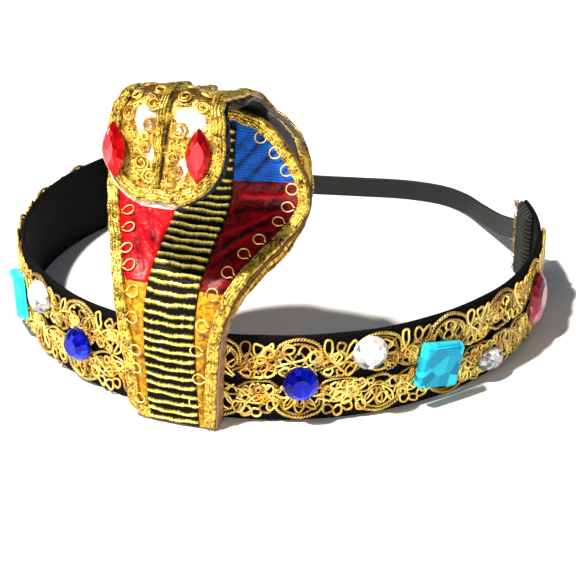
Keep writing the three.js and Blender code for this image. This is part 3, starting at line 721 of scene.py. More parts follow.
def satin(name, bright, deep, painted_highlight, roughness, weave, rows_depth, mottle):
    """Satin: long floats of shiny filament yarn. Its colour carries painted light: broad highlights
    streaked along the folds, painted shade in their valleys, whitish painted glints and a painted light
    level for each side. The weave is drawn at 0.8 mm, to show."""
    cloth, shader = new_material(name)
    uv = add_node(cloth, "UVMap", {}, uv_map="cloth")
    fold = add_node(cloth, "Attribute", {}, "Fac", attribute_name="fold")
    streaks = add_node(
        cloth, "TexNoise",
        {"Vector": uv, "Scale": 0.45, "Detail": 4.0, "Roughness": 0.6, "Distortion": 1.0},
    )
    sparkle = add_node(cloth, "TexNoise", {"Vector": uv, "Scale": 1.1, "Detail": 1.0})
    # The colour's light level: painted highlights in the streaks, plus the painted light and shade of the
    # sides and folds.
    lit = add_node(cloth, "Math", {0: streaks, 1: mottle, 2: fold}, operation="MULTIPLY_ADD")
    depth = add_node(cloth, "MapRange", {0: lit, 1: 0.45, 2: 1.1})
    # Whitish painted glints where the sparkle noise and the light level peak.
    spot = add_node(cloth, "Math", {0: sparkle, 1: 1.3, 2: lit}, operation="MULTIPLY_ADD")
    glints = add_node(cloth, "MapRange", {0: spot, 1: 2.05, 2: 2.35, 4: 0.8})
    rows = add_node(
        cloth, "TexWave",
        {"Vector": uv, "Scale": wave_scale(SATIN_WEAVE), "Distortion": 2.5, "Detail": 2.0}, "Fac",
        bands_direction="Y",
    )
    between = add_node(cloth, "MapRange", {0: rows, 2: 0.5, 3: rows_depth, 4: 0.0})
    colour = deep
    for share, tint in ((depth, bright), (glints, painted_highlight), (between, deep)):
        colour = add_node(cloth, "Mix", {0: share, 6: colour, 7: tint}, 2, data_type="RGBA")
    raised = add_node(cloth, "Math", {0: rows, 1: weave, 2: streaks}, operation="MULTIPLY_ADD")
    bump = add_node(cloth, "Bump", {"Height": raised, "Strength": 0.4, "Distance": 0.5 * MM})
    connect(cloth, shader, {
        "Base Color": colour, "Roughness": roughness, "Normal": bump, "Specular IOR Level": 0.18,
    })
    return cloth


# Of each cloth: where it starts and ends, how far it swells and creases, the tilt of its lower and upper
# seam, and its painted light level left and right, which lightens or darkens each side as painted light
# and shade. A fold has x and distance up the hood at its two ends, half its width, and its rise, below 0
# for a valley
FACINGS = {
    "gold_satin": {
        "from": 0.4, "to": 43.4, "puff": 0.75, "crease": 0.35, "tilts": (0, 0), "painted_side_light": (-0.22, -0.3),
        "folds": [],
        "cloth": satin("amber_satin", "#e8aa20", "#624008", "#ffeda0", 0.34, 0.1, 0.1, 1.95),
    },
    "red_satin": {
        "from": 42.6, "to": 80.4, "puff": 0.85, "crease": 0.4, "tilts": (0, 1), "painted_side_light": (0.4, -0.04),
        "folds": [
            (12.2, 75.4, 25.0, 77.2, 0.8, 1.0), (11.0, 62.0, 23.0, 72.2, 0.6, 0.7),
            (11.0, 54.6, 20.0, 65.6, 0.6, 0.5), (11.0, 58.4, 21.0, 68.6, 0.9, -0.6),
            (10.0, 50.0, 16.4, 58.4, 0.7, -0.5), (10.0, 70.2, 24.0, 73.8, 0.9, -0.5),
            (-20.0, 64.0, -10.6, 46.0, 0.9, -0.8), (-15.6, 66.0, -9.4, 53.0, 0.7, -0.8),
            (-22.0, 68.0, -13.0, 55.0, 0.6, 0.5),
        ],
        "cloth": satin("red_satin", "#be0416", "#2c0206", "#ff98a6", 0.32, 0.05, 0.06, 1.1),
    },
    "blue_cloth": {
        "from": 79.6, "to": 99.6, "puff": 0.6, "crease": 0.3, "tilts": (1, 0), "painted_side_light": (0.5, 0.45),
        "folds": [
            (9.0, 83.8, 17.0, 93.4, 0.8, -1.0), (12.6, 80.4, 19.4, 89.0, 0.9, -1.0),
            (9.0, 89.6, 12.4, 94.2, 0.6, -0.7),
        ],
        "cloth": satin("ribbed_blue_cloth", "#0966de", "#03143f", "#3f9cff", 0.5, 0.6, 0.42, 0.8),
    },
}
for number, (name, facing) in enumerate(FACINGS.items()):
    length = facing["to"] - facing["from"]
    t = np.linspace(0, 1, round(ROWS_PER_MM * length))[:, None]
    nominal = facing["from"] + length * t
    steepness = np.hypot(1, hood_slope(nominal))
    edge = np.maximum(hood_half_width(nominal) - CLOTH_MARGIN * steepness, LEAST_HALF_WIDTH)
    across = np.linspace(-1, 1, 111)
    x = across * (edge - corner_cut(nominal) * (across < 0))
    tilt = facing["tilts"][0] * (1 - t) + facing["tilts"][1] * t
    along = nominal + SEAM_TILT * tilt * np.clip(x - STRIP_HALF_WIDTH, 0, None)
    braid_edge = hood_half_width(nominal) - (BRAID_WIDTH + BRAID_GAP) * steepness
    from_strip = np.abs(x - strip_middle(along)) - (STRIP_HALF_WIDTH - STRIP_LAP)
    share = np.clip(from_strip / np.maximum(braid_edge - STRIP_HALF_WIDTH, 1.0), 0, 1)
    swell = np.sqrt(4 * share * (1 - share))
    single = single_folds(x, along, facing["folds"])
    fold = CREASE_SHARE * creases(x, along, CREASE_SEED + number)
    lip = LAP_LIP * np.exp(-(((along - facing["from"]) / LAP_LIP_WIDTH - 1) ** 2)) * (number > 0)
    tuck = np.clip((1 - t) / TUCK_LENGTH, TUCK_RISE, 1) if number < len(FACINGS) - 1 else 1
    creased = facing["crease"] * (fold + single - CREASE_LEVEL)
    rise = np.maximum(facing["puff"] + creased + lip, LEAST_RISE)
    lift = CLOTH_SEAT + tuck * swell * rise
    # Painted light and shade for the colour: a level for each side, lighter on fold ridges, darker in their
    # valleys.
    painted_side_light = np.where(x < 0, *facing["painted_side_light"])
    shade = painted_side_light + CREASE_SHADE * fold + FOLD_SHADE * single
    piece = add_piece(
        f"facing_{name}",
        wall(hood_point(x, along, lift), hood_point(x, along, lift - CLOTH_THICKNESS)),
        facing["cloth"], [f"panel_{name.split('_')[0]}_{label}" for label in ("left", "right")],
        uv=both_sides(pairs(x, along)), values={"fold": both_sides(shade)},
    )


# Belly strip
# A black ribbon runs up the middle of the hood, with raised ribs of gold yarn across it like the scales on
# a snake's belly. The ribs are woven in, so they sag and waver a little and end unevenly at its edges.
STRIP_FOOT = 0.2
STRIP_LENGTH = 96.0
STRIP_LIFT = 0.95
STRIP_BACK = 0.35
STRIP_EDGE_DROP = 0.35
STRIP_EDGE_POWER = 8
RIB_PITCH = 2.8
RIB_RISE = 0.95
RIB_CREST = 0.2
# Shares of half the pitch that a rib covers above and below its crest, and the powers that shape it there
RIB_SHARE = (0.42, 0.7)
RIB_POWERS = (3, 1.2)
RIB_FRAY = 0.12
RIB_SAG = 0.45
RIB_WAVER = 0.2
# Share of the half width over which a rib ends, and its height at the very edge
RIB_END = 0.05
RIB_END_RISE = 0.35


def ribbed_ribbon():
    """Black grosgrain with ribs of fuzzy gilt yarn: matte between the ribs, where its threads run up the
    ribbon. On a rib the threads fan out into a ragged olive fringe, with a painted highlight of bright
    yellow along its top and near-white painted glints."""
    ribbon, shader = new_material("gilt_ribbed_grosgrain")
    uv = add_node(ribbon, "UVMap", {}, uv_map="cloth")
    rib = add_node(ribbon, "Attribute", {}, "Fac", attribute_name="rib")
    drawn = add_node(ribbon, "Mapping", {"Vector": uv, "Scale": (2.4, 0.5, 1.0)})
    threads = add_node(
        ribbon, "TexNoise", {"Vector": drawn, "Scale": 1.0, "Detail": 3.0, "Roughness": 0.7}
    )
    patches = add_node(ribbon, "TexNoise", {"Vector": uv, "Scale": 0.5, "Detail": 2.0})
    ragged = add_node(ribbon, "Math", {0: threads, 1: 1.1, 2: rib}, operation="MULTIPLY_ADD")
    on_rib = add_node(ribbon, "MapRange", {0: ragged, 1: 0.72, 2: 1.04})
    # Bright yellow on the top of each rib: a painted highlight.
    crest = add_node(ribbon, "MapRange", {0: ragged, 1: 1.1, 2: 1.5})
    glint = add_node(ribbon, "Math", {0: patches, 1: ragged}, operation="MULTIPLY")
    # Near-white painted glints.
    white = add_node(ribbon, "MapRange", {0: glint, 1: 0.78, 2: 0.95, 4: 0.8})
    colour = "#030303"
    for share, tint in ((on_rib, "#7c6a1a"), (crest, "#f2e470"), (white, "#fff9d0")):
        colour = add_node(ribbon, "Mix", {0: share, 6: colour, 7: tint}, 2, data_type="RGBA")
    bump = add_node(ribbon, "Bump", {"Height": threads, "Strength": 0.5, "Distance": 0.3 * MM})
    connect(ribbon, shader, {
        "Base Color": colour, "Metallic": 0.15, "Roughness": 0.5, "Normal": bump,
        "Specular IOR Level": 0.12,
    })
    return ribbon


strip_along = np.linspace(STRIP_FOOT, STRIP_LENGTH, 600)[:, None]
strip_across = np.linspace(-1, 1, 61)
strip_x = strip_middle(strip_along) + STRIP_HALF_WIDTH * strip_across
draw = np.random.default_rng(5)
sag = RIB_SAG * (1 - strip_across**2)
rib_number = np.round((strip_along + sag) / RIB_PITCH - 0.5).astype(int)
rib_sway = draw.uniform(-1, 1, (rib_number.max() + 2, 4))[rib_number]
# Each rib is shifted as a whole, and bent by a long and a short wave
waver = RIB_WAVER * (
    rib_sway[..., 0] + rib_sway[..., 1] * np.sin(2.6 * strip_across + 3 * rib_sway[..., 2])
    + 0.7 * np.sin(7 * strip_across + 6 * rib_sway[..., 3])
)
frays = draw.normal(0, RIB_FRAY, (rib_number.max() + 1, len(strip_across)))
fray = frays[rib_number, np.arange(len(strip_across))]
from_rib = (strip_along + sag - (rib_number + 0.5) * RIB_PITCH - waver) / (0.5 * RIB_PITCH) - RIB_CREST
reach = np.where(from_rib > 0, *RIB_SHARE) + fray
rib = np.clip(1 - (np.abs(from_rib) / reach) ** np.where(from_rib > 0, *RIB_POWERS), 0, 1)
rib = rib * np.clip((1.0 - np.abs(strip_across)) / RIB_END, RIB_END_RISE, 1)
ribbon_lift = STRIP_LIFT + RIB_RISE * rib - STRIP_EDGE_DROP * np.abs(strip_across) ** STRIP_EDGE_POWER
add_piece(
    "belly_ribbon",
    wall(hood_point(strip_x, strip_along, ribbon_lift), hood_point(strip_x, strip_along, STRIP_BACK)),
    ribbed_ribbon(), ["belly_strip"],
    uv=both_sides(pairs(strip_x, strip_along)), values={"rib": both_sides(rib)}, sharp=75,
)


# Braid round the hood
# A flat braid knitted from gold tinsel is sewn round the edge of the hood, over the facings' raw edges.
# Its chain stitches leave small holes, painted dark as shade. It is crumpled, and bends round the left
# corner of the foot.
STITCH_PITCH = 0.95
STITCH_STEP = 0.27
STITCH_LAG = 0.35
COLUMN_CELLS = 5
BRAID_THICKNESS = 1.1
BRAID_SEAT = 0.65
BRAID_SINK = 0.15
BRAID_EDGE_POWER = 6
BRAID_CRUMPLE = 0.1
BRAID_WANDER = 0.12
BRAID_WANDER_RATE = 0.8
HOOD_BRAID_WIDTH = 3.7
# Distances up the hood at the ends of the braid's sides, and over its top
HOOD_BRAID_SIDES = (0.8, 96)
HOOD_BRAID_TOP = (98.3, 99.8, 100.6)
# Start, end and step in degrees of the arc round the left corner of the foot
CORNER_ARC = (190, 276, 12)
OUTLINE_STEP = 1.0


def leftwards(line):
    """Directions to the left of a line of points in the plane."""
    ahead = unit(np.gradient(line, axis=0))
    return pairs(-ahead[:, 1], ahead[:, 0])


def tinsel_knit():
    """Knitted tinsel: strips of yellow gilt film, whose glitter is painted as flakes of random dark and
    bright gold, with painted shade in the holes between the stitches."""
    tinsel, shader = new_material("knitted_gold_tinsel")
    uv = add_node(tinsel, "UVMap", {}, uv_map="cloth")
    opening = add_node(tinsel, "Attribute", {}, "Fac", attribute_name="opening")
    patches = add_node(tinsel, "TexNoise", {"Vector": uv, "Scale": 0.35, "Detail": 4.0})
    # Flakes of random dark and bright gold: painted glitter.
    glitter = add_node(tinsel, "TexVoronoi", {"Vector": uv, "Scale": 1.7}, "Color")
    flake = add_node(tinsel, "SeparateXYZ", {0: glitter})
    mixed = add_node(tinsel, "Math", {0: flake, 1: 0.5, 2: patches}, operation="MULTIPLY_ADD")
    tone = add_node(tinsel, "MapRange", {0: mixed, 1: 0.45, 2: 0.95})
    # Dark holes between the stitches: painted shade.
    hole = add_node(tinsel, "MapRange", {0: opening, 1: 0.2, 2: 0.8, 4: 0.8})
    gilt = add_node(tinsel, "Mix", {0: tone, 6: "#54340a", 7: "#f2cc52"}, 2, data_type="RGBA")
    colour = add_node(tinsel, "Mix", {0: hole, 6: gilt, 7: "#4a2c08"}, 2, data_type="RGBA")
    bump = add_node(tinsel, "Bump", {"Height": flake, "Strength": 0.8, "Distance": 0.35 * MM})
    connect(tinsel, shader, {"Base Color": colour, "Metallic": 0.65, "Roughness": 0.25, "Normal": bump})
    return tinsel


gold_tinsel = tinsel_knit()


def add_braid(name, replaces, outline, width, columns, seat, point_at, seed):
    """Adds a knitted braid laid inside an outline. Its face is a set of rounded columns, each a chain of V
    stitches: a wave of the distance along that lags towards the column's sides. A slow wave crumples it.
    How open the knit is at each point, from 0 to 1, sets holes that vary from stitch to stitch, painted
    dark as shade."""
    line = smooth_path(outline, STITCH_STEP)
    distance = travelled(line)[:, None]
    across = np.linspace(0, 1, COLUMN_CELLS * columns + 1)
    column = np.minimum((across * columns).astype(int), columns - 1)
    side = 2 * (across * columns - column) - 1
    phase = distance / STITCH_PITCH + STITCH_LAG * np.abs(side) + 0.5 * (column % 2)
    stitch = 0.5 + 0.5 * np.cos(2 * np.pi * phase)
    body = np.sqrt(np.clip(1 - side**2, 0, 1)) * (0.45 + 0.55 * stitch)
    draw = np.random.default_rng(seed)
    looseness = draw.uniform(0, 1, (int(phase.max()) + 2, columns))[phase.astype(int), column]
    opening = np.clip(1.15 - 1.3 * body, 0, 1) * looseness**1.5
    crumple = np.sin(0.55 * distance + 2 * across) + np.sin(1.45 * distance - 3 * across + 1)
    rounded = np.sqrt(1 - np.abs(2 * across - 1) ** BRAID_EDGE_POWER)
    lift = seat + BRAID_THICKNESS * rounded * (0.7 + 0.3 * body) + BRAID_CRUMPLE * crumple * rounded
    reach = width * across + BRAID_WANDER * np.sin(BRAID_WANDER_RATE * distance)
    place = line[:, None] + reach[..., None] * leftwards(line)[:, None]
    front = point_at(place[..., 0], place[..., 1], lift)
    back = point_at(place[..., 0], place[..., 1], seat - BRAID_SINK)
    add_piece(
        name, wall(front, back), gold_tinsel, [replaces],
        uv=both_sides(pairs(distance, width * across)), values={"opening": both_sides(opening)}, sharp=180,
    )


def edge_outline(along, half_width):
    """Up the right edge of a piece and down its left, with an arc in place of the left corner of the foot.
    The half width is a function of the distance along."""
    right = pairs(half_width(along), along)
    outline = np.concatenate([right, right[::-1] * (-1, 1)])
    turn = np.radians(np.arange(*CORNER_ARC))
    middle = np.array([CORNER_RADIUS - half_width(CORNER_RADIUS), CORNER_RADIUS + PANEL_BASE_Z])
    arc = middle + CORNER_RADIUS * pairs(np.cos(turn), np.sin(turn))
    kept = (outline[:, 0] > 0) | (outline[:, 1] > CORNER_RADIUS + 1)
    return smooth_path(np.concatenate([outline[kept], arc]), OUTLINE_STEP)


hood_along = np.concatenate([np.linspace(*HOOD_BRAID_SIDES, 60), HOOD_BRAID_TOP])
add_braid(
    "hood_braid", "hood_edge_braid", edge_outline(hood_along, hood_half_width), HOOD_BRAID_WIDTH,
    columns=4, seat=BRAID_SEAT, point_at=hood_point, seed=31,
)


# Small loops inside the braid
# The inner edge of the braid has picots: separate round loops of thin gold wire that lie on the facings,
# about seven millimetres apart.
PICOTS = [
    (7.8, 8.6), (9.2, 16.6), (8.6, 25.6), (10.4, 33.4), (12.2, 42.0), (15.0, 48.8), (17.6, 55.6),
    (20.4, 61.2), (24.0, 68.4), (25.6, 73.8), (26.4, 79.6), (24.4, 84.8), (20.6, 89.4), (16.0, 93.4),
    (-9.8, 6.8), (-10.6, 16.6), (-10.4, 22.6), (-11.2, 32.6), (-11.8, 39.6), (-14.6, 46.6), (-17.4, 51.6),
    (-19.4, 58.8), (-21.8, 64.8),
]
PICOT_RADIUS = 1.6
PICOT_STRETCH = 1.05
PICOT_WIRE = 0.22
PICOT_LIFT = 1.6
PICOT_ARCH = 0.2
PICOT_HALF_TURN = 0.86 * np.pi
# How far the two tails of the wire run back under the braid, and half the gap between them
PICOT_TAIL = 2.2
PICOT_TAIL_GAP = 0.4
picots = []
for x, place in PICOTS:
    inwards = unit(np.array([-math.copysign(1.0, x), float(hood_slope(place))]))
    spread = np.array([-inwards[1], inwards[0]])
    turn = np.linspace(-PICOT_HALF_TURN, PICOT_HALF_TURN, 25)[:, None]
    bow = PICOT_RADIUS * (np.cos(turn) * PICOT_STRETCH * inwards + np.sin(turn) * spread)
    tail, gap = PICOT_TAIL * inwards, PICOT_TAIL_GAP * spread
    line = (x, place) + np.concatenate([[-tail - gap], bow, [gap - tail]])
    lift = PICOT_LIFT + PICOT_ARCH * np.cos(np.linspace(-np.pi, np.pi, len(line)))
    out = hood_point(*line.T, 2.0) - hood_point(*line.T, 1.0)
    picots.append(cord(hood_point(*line.T, lift), out, PICOT_WIRE))
add_cords("picot_loops", picots, gold_yarn("gilt_wire", "#fbe79c", "#dcae4c"), [])


# Brocade back and head
# One piece of pale gold lamé brocade covers the back of the hood, turns over at the top and comes down in
# front as the cobra's head, furrowed down the middle and curled in along its sides.
BROCADE_THICKNESS = 1.2
# Columns: y and z of the centre line, half width, drop of the sides and depth of the furrow
BROCADE = np.array([
    (-90.2, 0.4, 13.7, 0, 0), (-90.2, 15, 14.4, 0, 0), (-90.2, 28.6, 15.9, 0, 0), (-87.4, 38.2, 19, 0.4, 0),
    (-80, 43.8, 23.2, 1.8, 0), (-71.2, 46.8, 27.6, 3.6, 0), (-59.4, 53, 30.2, 5.2, 0),
    (-53.6, 62.6, 30.6, 5.6, 0), (-50, 73.2, 27.8, 5.4, 0), (-47.6, 80, 22, 4.2, 0),
    (-47.4, 84.8, 15.4, 2.2, 0.1), (-50.4, 88.4, 12.6, 1.2, 0.3), (-56.6, 91, 12.4, 1.2, 0.7),
    (-66, 93.8, 13.4, 2.2, 1), (-76.6, 97.8, 14.8, 3.4, 1.4), (-84, 99.8, 15.6, 4.2, 1.5),
    (-89.4, 97.2, 16.6, 4.4, 1.5), (-92, 91.8, 17.7, 4.2, 1.4), (-93.4, 86.6, 18.2, 4, 1.3),
    (-94.8, 81.4, 17.7, 3.4, 1.2), (-96.4, 76, 14.8, 2.2, 0.8), (-97.6, 72.3, 9.6, 1, 0.4),
    (-98.2, 70.4, 4.4, 0.2, 0),
])
BROCADE = np.column_stack([travelled(BROCADE[:, :2]), BROCADE])
BROCADE_LENGTH = BROCADE[-1, 0]
FURROW_HALF_WIDTH = 2.4
DROP_POWER = 2.2
RIM_WIDTH = 1.1
FOOT_PAD = 2.2
SHELL_PUCKER = 0.14
# Distances along the brocade: where the back turns into the head, and the brow's middle and half length
HEAD_START = (112, 124)
BROW = 145.0
BROW_HALF_LENGTH = 8.0
# Distances along it between which its zones come or go: the pad and the paste at the foot, the grey rim of
# the open top, the dark line beside the braid, and that line's turn to the left
PAD_TOP = (31, 25)
PASTE_TOP = (30, 44)
OPEN_RIM = (90, 98)
LINE_START = (142, 148)
LINE_TURN = (157, 168)
LINE_X = 0.95
LINE_SHIFT = 0.9
LINE_HALF_WIDTH = 0.75
# Shares of the half width between which the pad rises, x between which the dark piping comes in, and
# distances from the edge between which the painted highlight does
PAD_SHARES = (0.6, 0.85)
PIPING_X = (4.0, 7.0)
PAINTED_HIGHLIGHT_INSET = (2.5, 5.0)
# Near-white patches of painted highlight: x, distance along the brocade, and half sizes
PAINTED_HIGHLIGHT_PATCHES = [
    (-6.0, 155.6, 4.4, 4.2), (7.4, 155.2, 5.2, 4.6), (-3.4, 165.0, 2.0, 2.4), (5.8, 167.6, 2.6, 3.2),
]


def brocade_surface(u, along):
    """The brocade's surface: u from -1 to 1 across, along up the back and over to the nose. Its centre line
    runs through the table, and its sides drop inwards by a power of u, with a furrow in the middle."""
    y, z, half_width, drop, furrow = (through(BROCADE, column, along) for column in range(1, 6))
    x = u * half_width
    ahead = unit(pairs(*(
        through(BROCADE, column, along + 0.1) - through(BROCADE, column, along - 0.1) for column in (1, 2)
    )))
    inward = drop * np.abs(u) ** DROP_POWER + furrow * np.exp(-((x / FURROW_HALF_WIDTH) ** 2))
    return np.stack([x, y - ahead[..., 1] * inward, z + ahead[..., 0] * inward], axis=-1)


def brocade_axes(u, along):
    """Directions on that surface: across it, along it and out of it."""
    across = unit(brocade_surface(u + 0.01, along) - brocade_surface(u - 0.01, along))
    ahead = unit(brocade_surface(u, along + 0.1) - brocade_surface(u, along - 0.1))
    return across, ahead, unit(np.cross(ahead, across))


def brocade_half_width(along):
    """Half the width of the brocade at a distance along it."""
    return through(BROCADE, 3, along)


def brocade_point(x, along, lift):
    """A point over the brocade, x across it in mm."""
    x, along, lift = np.broadcast_arrays(np.asarray(x, float), np.asarray(along, float), lift)
    u = x / brocade_half_width(along)
    return brocade_surface(u, along) + lift[..., None] * brocade_axes(u, along)[2]


def ramp(value, start, end):
    """From 0 at start to 1 at end, level beyond."""
    return np.clip((value - start) / (end - start), 0, 1)


def lame_brocade():
    """Gold lamé brocade: flat metal strips woven in, with gold figures full of small dark dots where the
    binding threads show, near-white patches of painted highlight, dark painted reflection on the brow and
    dark patches over the back of the hood. A dark broken line runs down beside the braid. The raw edge
    shows its felt backing, the lining on the right, and paste at the foot."""
    brocade, shader = new_material("gold_lame_brocade")
    uv = add_node(brocade, "UVMap", {}, uv_map="cloth")
    figure = add_node(
        brocade, "TexNoise",
        {"Vector": uv, "Scale": 0.32, "Detail": 5.0, "Roughness": 0.65, "Distortion": 0.8},
    )
    speckle = add_node(brocade, "TexVoronoi", {"Vector": uv, "Scale": 1.05})
    zone = {}
    for key in ("painted_highlight", "brow", "line", "felt", "piping", "rim", "paste"):
        zone[key] = add_node(brocade, "Attribute", {}, "Fac", attribute_name=key)
    # Near-white painted highlight where the figure noise and the patches are high.
    glare_level = add_node(brocade, "Math", {0: figure, 1: 1.6, 2: zone["painted_highlight"]}, operation="MULTIPLY_ADD")
    painted_highlight = add_node(brocade, "MapRange", {0: glare_level, 1: 1.2, 2: 1.45})
    dots = add_node(brocade, "MapRange", {0: speckle, 1: 0.18, 2: 0.4})
    toned = add_node(brocade, "MapRange", {0: figure, 1: 0.38, 2: 0.58})
    # Dark painted reflection on the brow, and dark patches over the back of the hood.
    brow_reflection_level = add_node(brocade, "Math", {0: figure, 1: -1.8, 2: zone["brow"]}, operation="MULTIPLY_ADD")
    brow_dark_reflection = add_node(brocade, "MapRange", {0: brow_reflection_level, 1: -0.15, 2: 0.15, 4: 0.9})
    gold = add_node(brocade, "Mix", {0: toned, 6: "#9c6a16", 7: "#f4cc54"}, 2, data_type="RGBA")
    colour = add_node(brocade, "Mix", {0: dots, 6: "#472a08", 7: gold}, 2, data_type="RGBA")
    layers = [
        (painted_highlight, "#fff4d6"), (brow_dark_reflection, "#4a2f0c"), (zone["line"], "#2c1a08"), (zone["felt"], "#f3e2d4"),
        (zone["piping"], "#181b24"), (zone["rim"], "#666a73"), (zone["paste"], "#b89078"),
    ]
    for share, tint in layers:
        colour = add_node(brocade, "Mix", {0: share, 6: colour, 7: tint}, 2, data_type="RGBA")
    bump = add_node(brocade, "Bump", {"Height": dots, "Strength": 0.8, "Distance": 0.3 * MM})
    rolled = add_node(
        brocade, "Bump", {"Height": figure, "Strength": 0.7, "Distance": 1.2 * MM, "Normal": bump}
    )
    connect(brocade, shader, {"Base Color": colour, "Metallic": 0.5, "Roughness": 0.3, "Normal": rolled})
    return brocade


shell_along = np.linspace(0, BROCADE_LENGTH, 281)[:, None]
shell_t = np.linspace(-1, 1, 111)
# Columns of the grid lie closer together towards the edges
shell_u = 0.55 * shell_t + 0.45 * np.sin(np.pi / 2 * shell_t)
shell_half_width = brocade_half_width(shell_along)
shell_x = shell_u * shell_half_width + corner_cut(shell_along) * np.clip(-shell_u, 0, 1)
pucker = SHELL_PUCKER * np.sin(0.9 * shell_along + 3 * np.sin(0.31 * shell_x)) * np.abs(shell_u) ** 3
foot_pad = ramp(np.abs(shell_u), *PAD_SHARES) * ramp(shell_along, *PAD_TOP)
front = brocade_point(shell_x, shell_along, pucker + FOOT_PAD * foot_pad)
back = brocade_point(shell_x, shell_along, pucker - BROCADE_THICKNESS)
to_edge = np.minimum((1 - np.abs(shell_u)) * shell_half_width, BROCADE_LENGTH - shell_along)
on_head = ramp(shell_along, *HEAD_START)
rim = 1 - ramp(to_edge, RIM_WIDTH, RIM_WIDTH + 0.3)
right_side = ramp(shell_x, *PIPING_X) * on_head
line_x = LINE_X - LINE_SHIFT * ramp(shell_along, *LINE_TURN)
broken = 0.8 + 0.2 * np.sign(np.sin(0.72 * shell_along) + 0.4)
line = np.exp(-(((shell_x - line_x) / LINE_HALF_WIDTH) ** 4)) * ramp(shell_along, *LINE_START) * broken
# Near-white patches of painted highlight on the face.
painted_highlight = [
    np.exp(-(((shell_x - x) / half_x) ** 2) - ((shell_along - along) / half_along) ** 2)
    for x, along, half_x, half_along in PAINTED_HIGHLIGHT_PATCHES
]
# Where the dark painted reflection of the brow lies, and the dark patches over the back.
brow = 1.3 * np.exp(-(((shell_along - BROW) / BROW_HALF_LENGTH) ** 2)) + 0.6 * (1 - on_head)
zones = {
    "painted_highlight": np.maximum.reduce(painted_highlight) * ramp(to_edge, *PAINTED_HIGHLIGHT_INSET),
    "brow": np.broadcast_to(brow, shell_x.shape),
    "line": line,
    "felt": rim * (1 - right_side) * on_head,
    "piping": rim * right_side,
    "rim": rim * (1 - on_head) * ramp(shell_along, *OPEN_RIM),
    "paste": np.maximum(rim * (1 - ramp(shell_along, *PASTE_TOP)), foot_pad),
}
shell = add_piece(
    "brocade_shell", wall(front, back), lame_brocade(), ["hood_back_and_head"],
    uv=both_sides(pairs(shell_x, shell_along)),
    values={key: both_sides(share) for key, share in zones.items()},
)


# Lining of the head
# Dark grey-blue lining cloth backs the brocade where it shows: inside the open top of the hood, under the
# head and as a dark edge beside the face.
LINING_THICKNESS = 1.0
LINING_DEPTH = BROCADE_THICKNESS + 0.45
LINING_REACH = 0.93
LINING_FROM = 84.8
LINING_TO = 174.6
LINING_WEAVE = 0.9


def dark_lining():
    """Plain-weave polyester lining: dark and almost dull. Its weave is drawn at 0.9 mm so that it shows."""
    lining, shader = new_material("navy_lining")
    uv = add_node(lining, "UVMap", {}, uv_map="cloth")
    weave = add_node(
        lining, "TexWave", {"Vector": uv, "Scale": wave_scale(LINING_WEAVE), "Distortion": 1.0}, "Fac",
        bands_direction="DIAGONAL",
    )
    folds = add_node(lining, "TexNoise", {"Vector": uv, "Scale": 0.2, "Detail": 3.0})
    colour = add_node(lining, "Mix", {0: folds, 6: "#12141a", 7: "#3e424c"}, 2, data_type="RGBA")
    bump = add_node(lining, "Bump", {"Height": weave, "Strength": 0.3, "Distance": 0.15 * MM})
    connect(lining, shader, {"Base Color": colour, "Roughness": 0.7, "Normal": bump})
    return lining


lining_along = np.linspace(LINING_FROM, LINING_TO, 121)[:, None]
lining_half_width = LINING_REACH * brocade_half_width(lining_along)
lining_x = np.linspace(-1, 1, 41) * lining_half_width
lining = add_piece(
    "head_lining_cloth",
    wall(
        brocade_point(lining_x, lining_along, -LINING_DEPTH),
        brocade_point(lining_x, lining_along, -LINING_DEPTH - LINING_THICKNESS),
    ),
    dark_lining(), ["head_lining"], uv=both_sides(pairs(lining_x, lining_along)),
)


# Braids of the head
# The same knitted braid edges the brocade all round, a little inside the raw edge on the face. A narrower
# one runs down the left side of the furrow from the brow to the nose.
HEAD_BRAID_WIDTH = 3.5
CENTRE_BRAID_WIDTH = 2.4
CENTRE_BRAID_X = -0.1
CENTRE_BRAID_SEAT = 0.1
CENTRE_BRAID_ENDS = (112, 173)
# Distances along the brocade at the ends of the edge braid's sides, and round the nose
HEAD_BRAID_SIDES = (0.8, 170)
HEAD_BRAID_NOSE = (173, 175.5, 177.3, 178.4)
head_along = np.concatenate([np.linspace(*HEAD_BRAID_SIDES, 90), HEAD_BRAID_NOSE])
head_edge = edge_outline(head_along, brocade_half_width)
head_edge = head_edge + RIM_WIDTH * ramp(head_edge[:, 1:], *HEAD_START) * leftwards(head_edge)
add_braid(
    "head_braid", "head_edge_braid", head_edge, HEAD_BRAID_WIDTH,
    columns=4, seat=BRAID_SEAT, point_at=brocade_point, seed=32,
)
add_braid(
    "centre_braid", "head_centre_braid", pairs(CENTRE_BRAID_X, np.linspace(*CENTRE_BRAID_ENDS, 30)),
    CENTRE_BRAID_WIDTH, columns=3, seat=CENTRE_BRAID_SEAT, point_at=brocade_point, seed=33,
)


# Wire coils on the head
# Spirals of gilt purl, a fine coiled wire, are stitched over the face and brow like scales. They lie in no
# strict order, and each is a little raised at its eye.
COIL_WIRE = 0.3
COIL_TURNS = 1.8
COIL_EYE = 0.45
COIL_POWER = 0.7
COIL_SEAT = 0.4
COIL_RISE = 0.4
COIL_START = 2.4
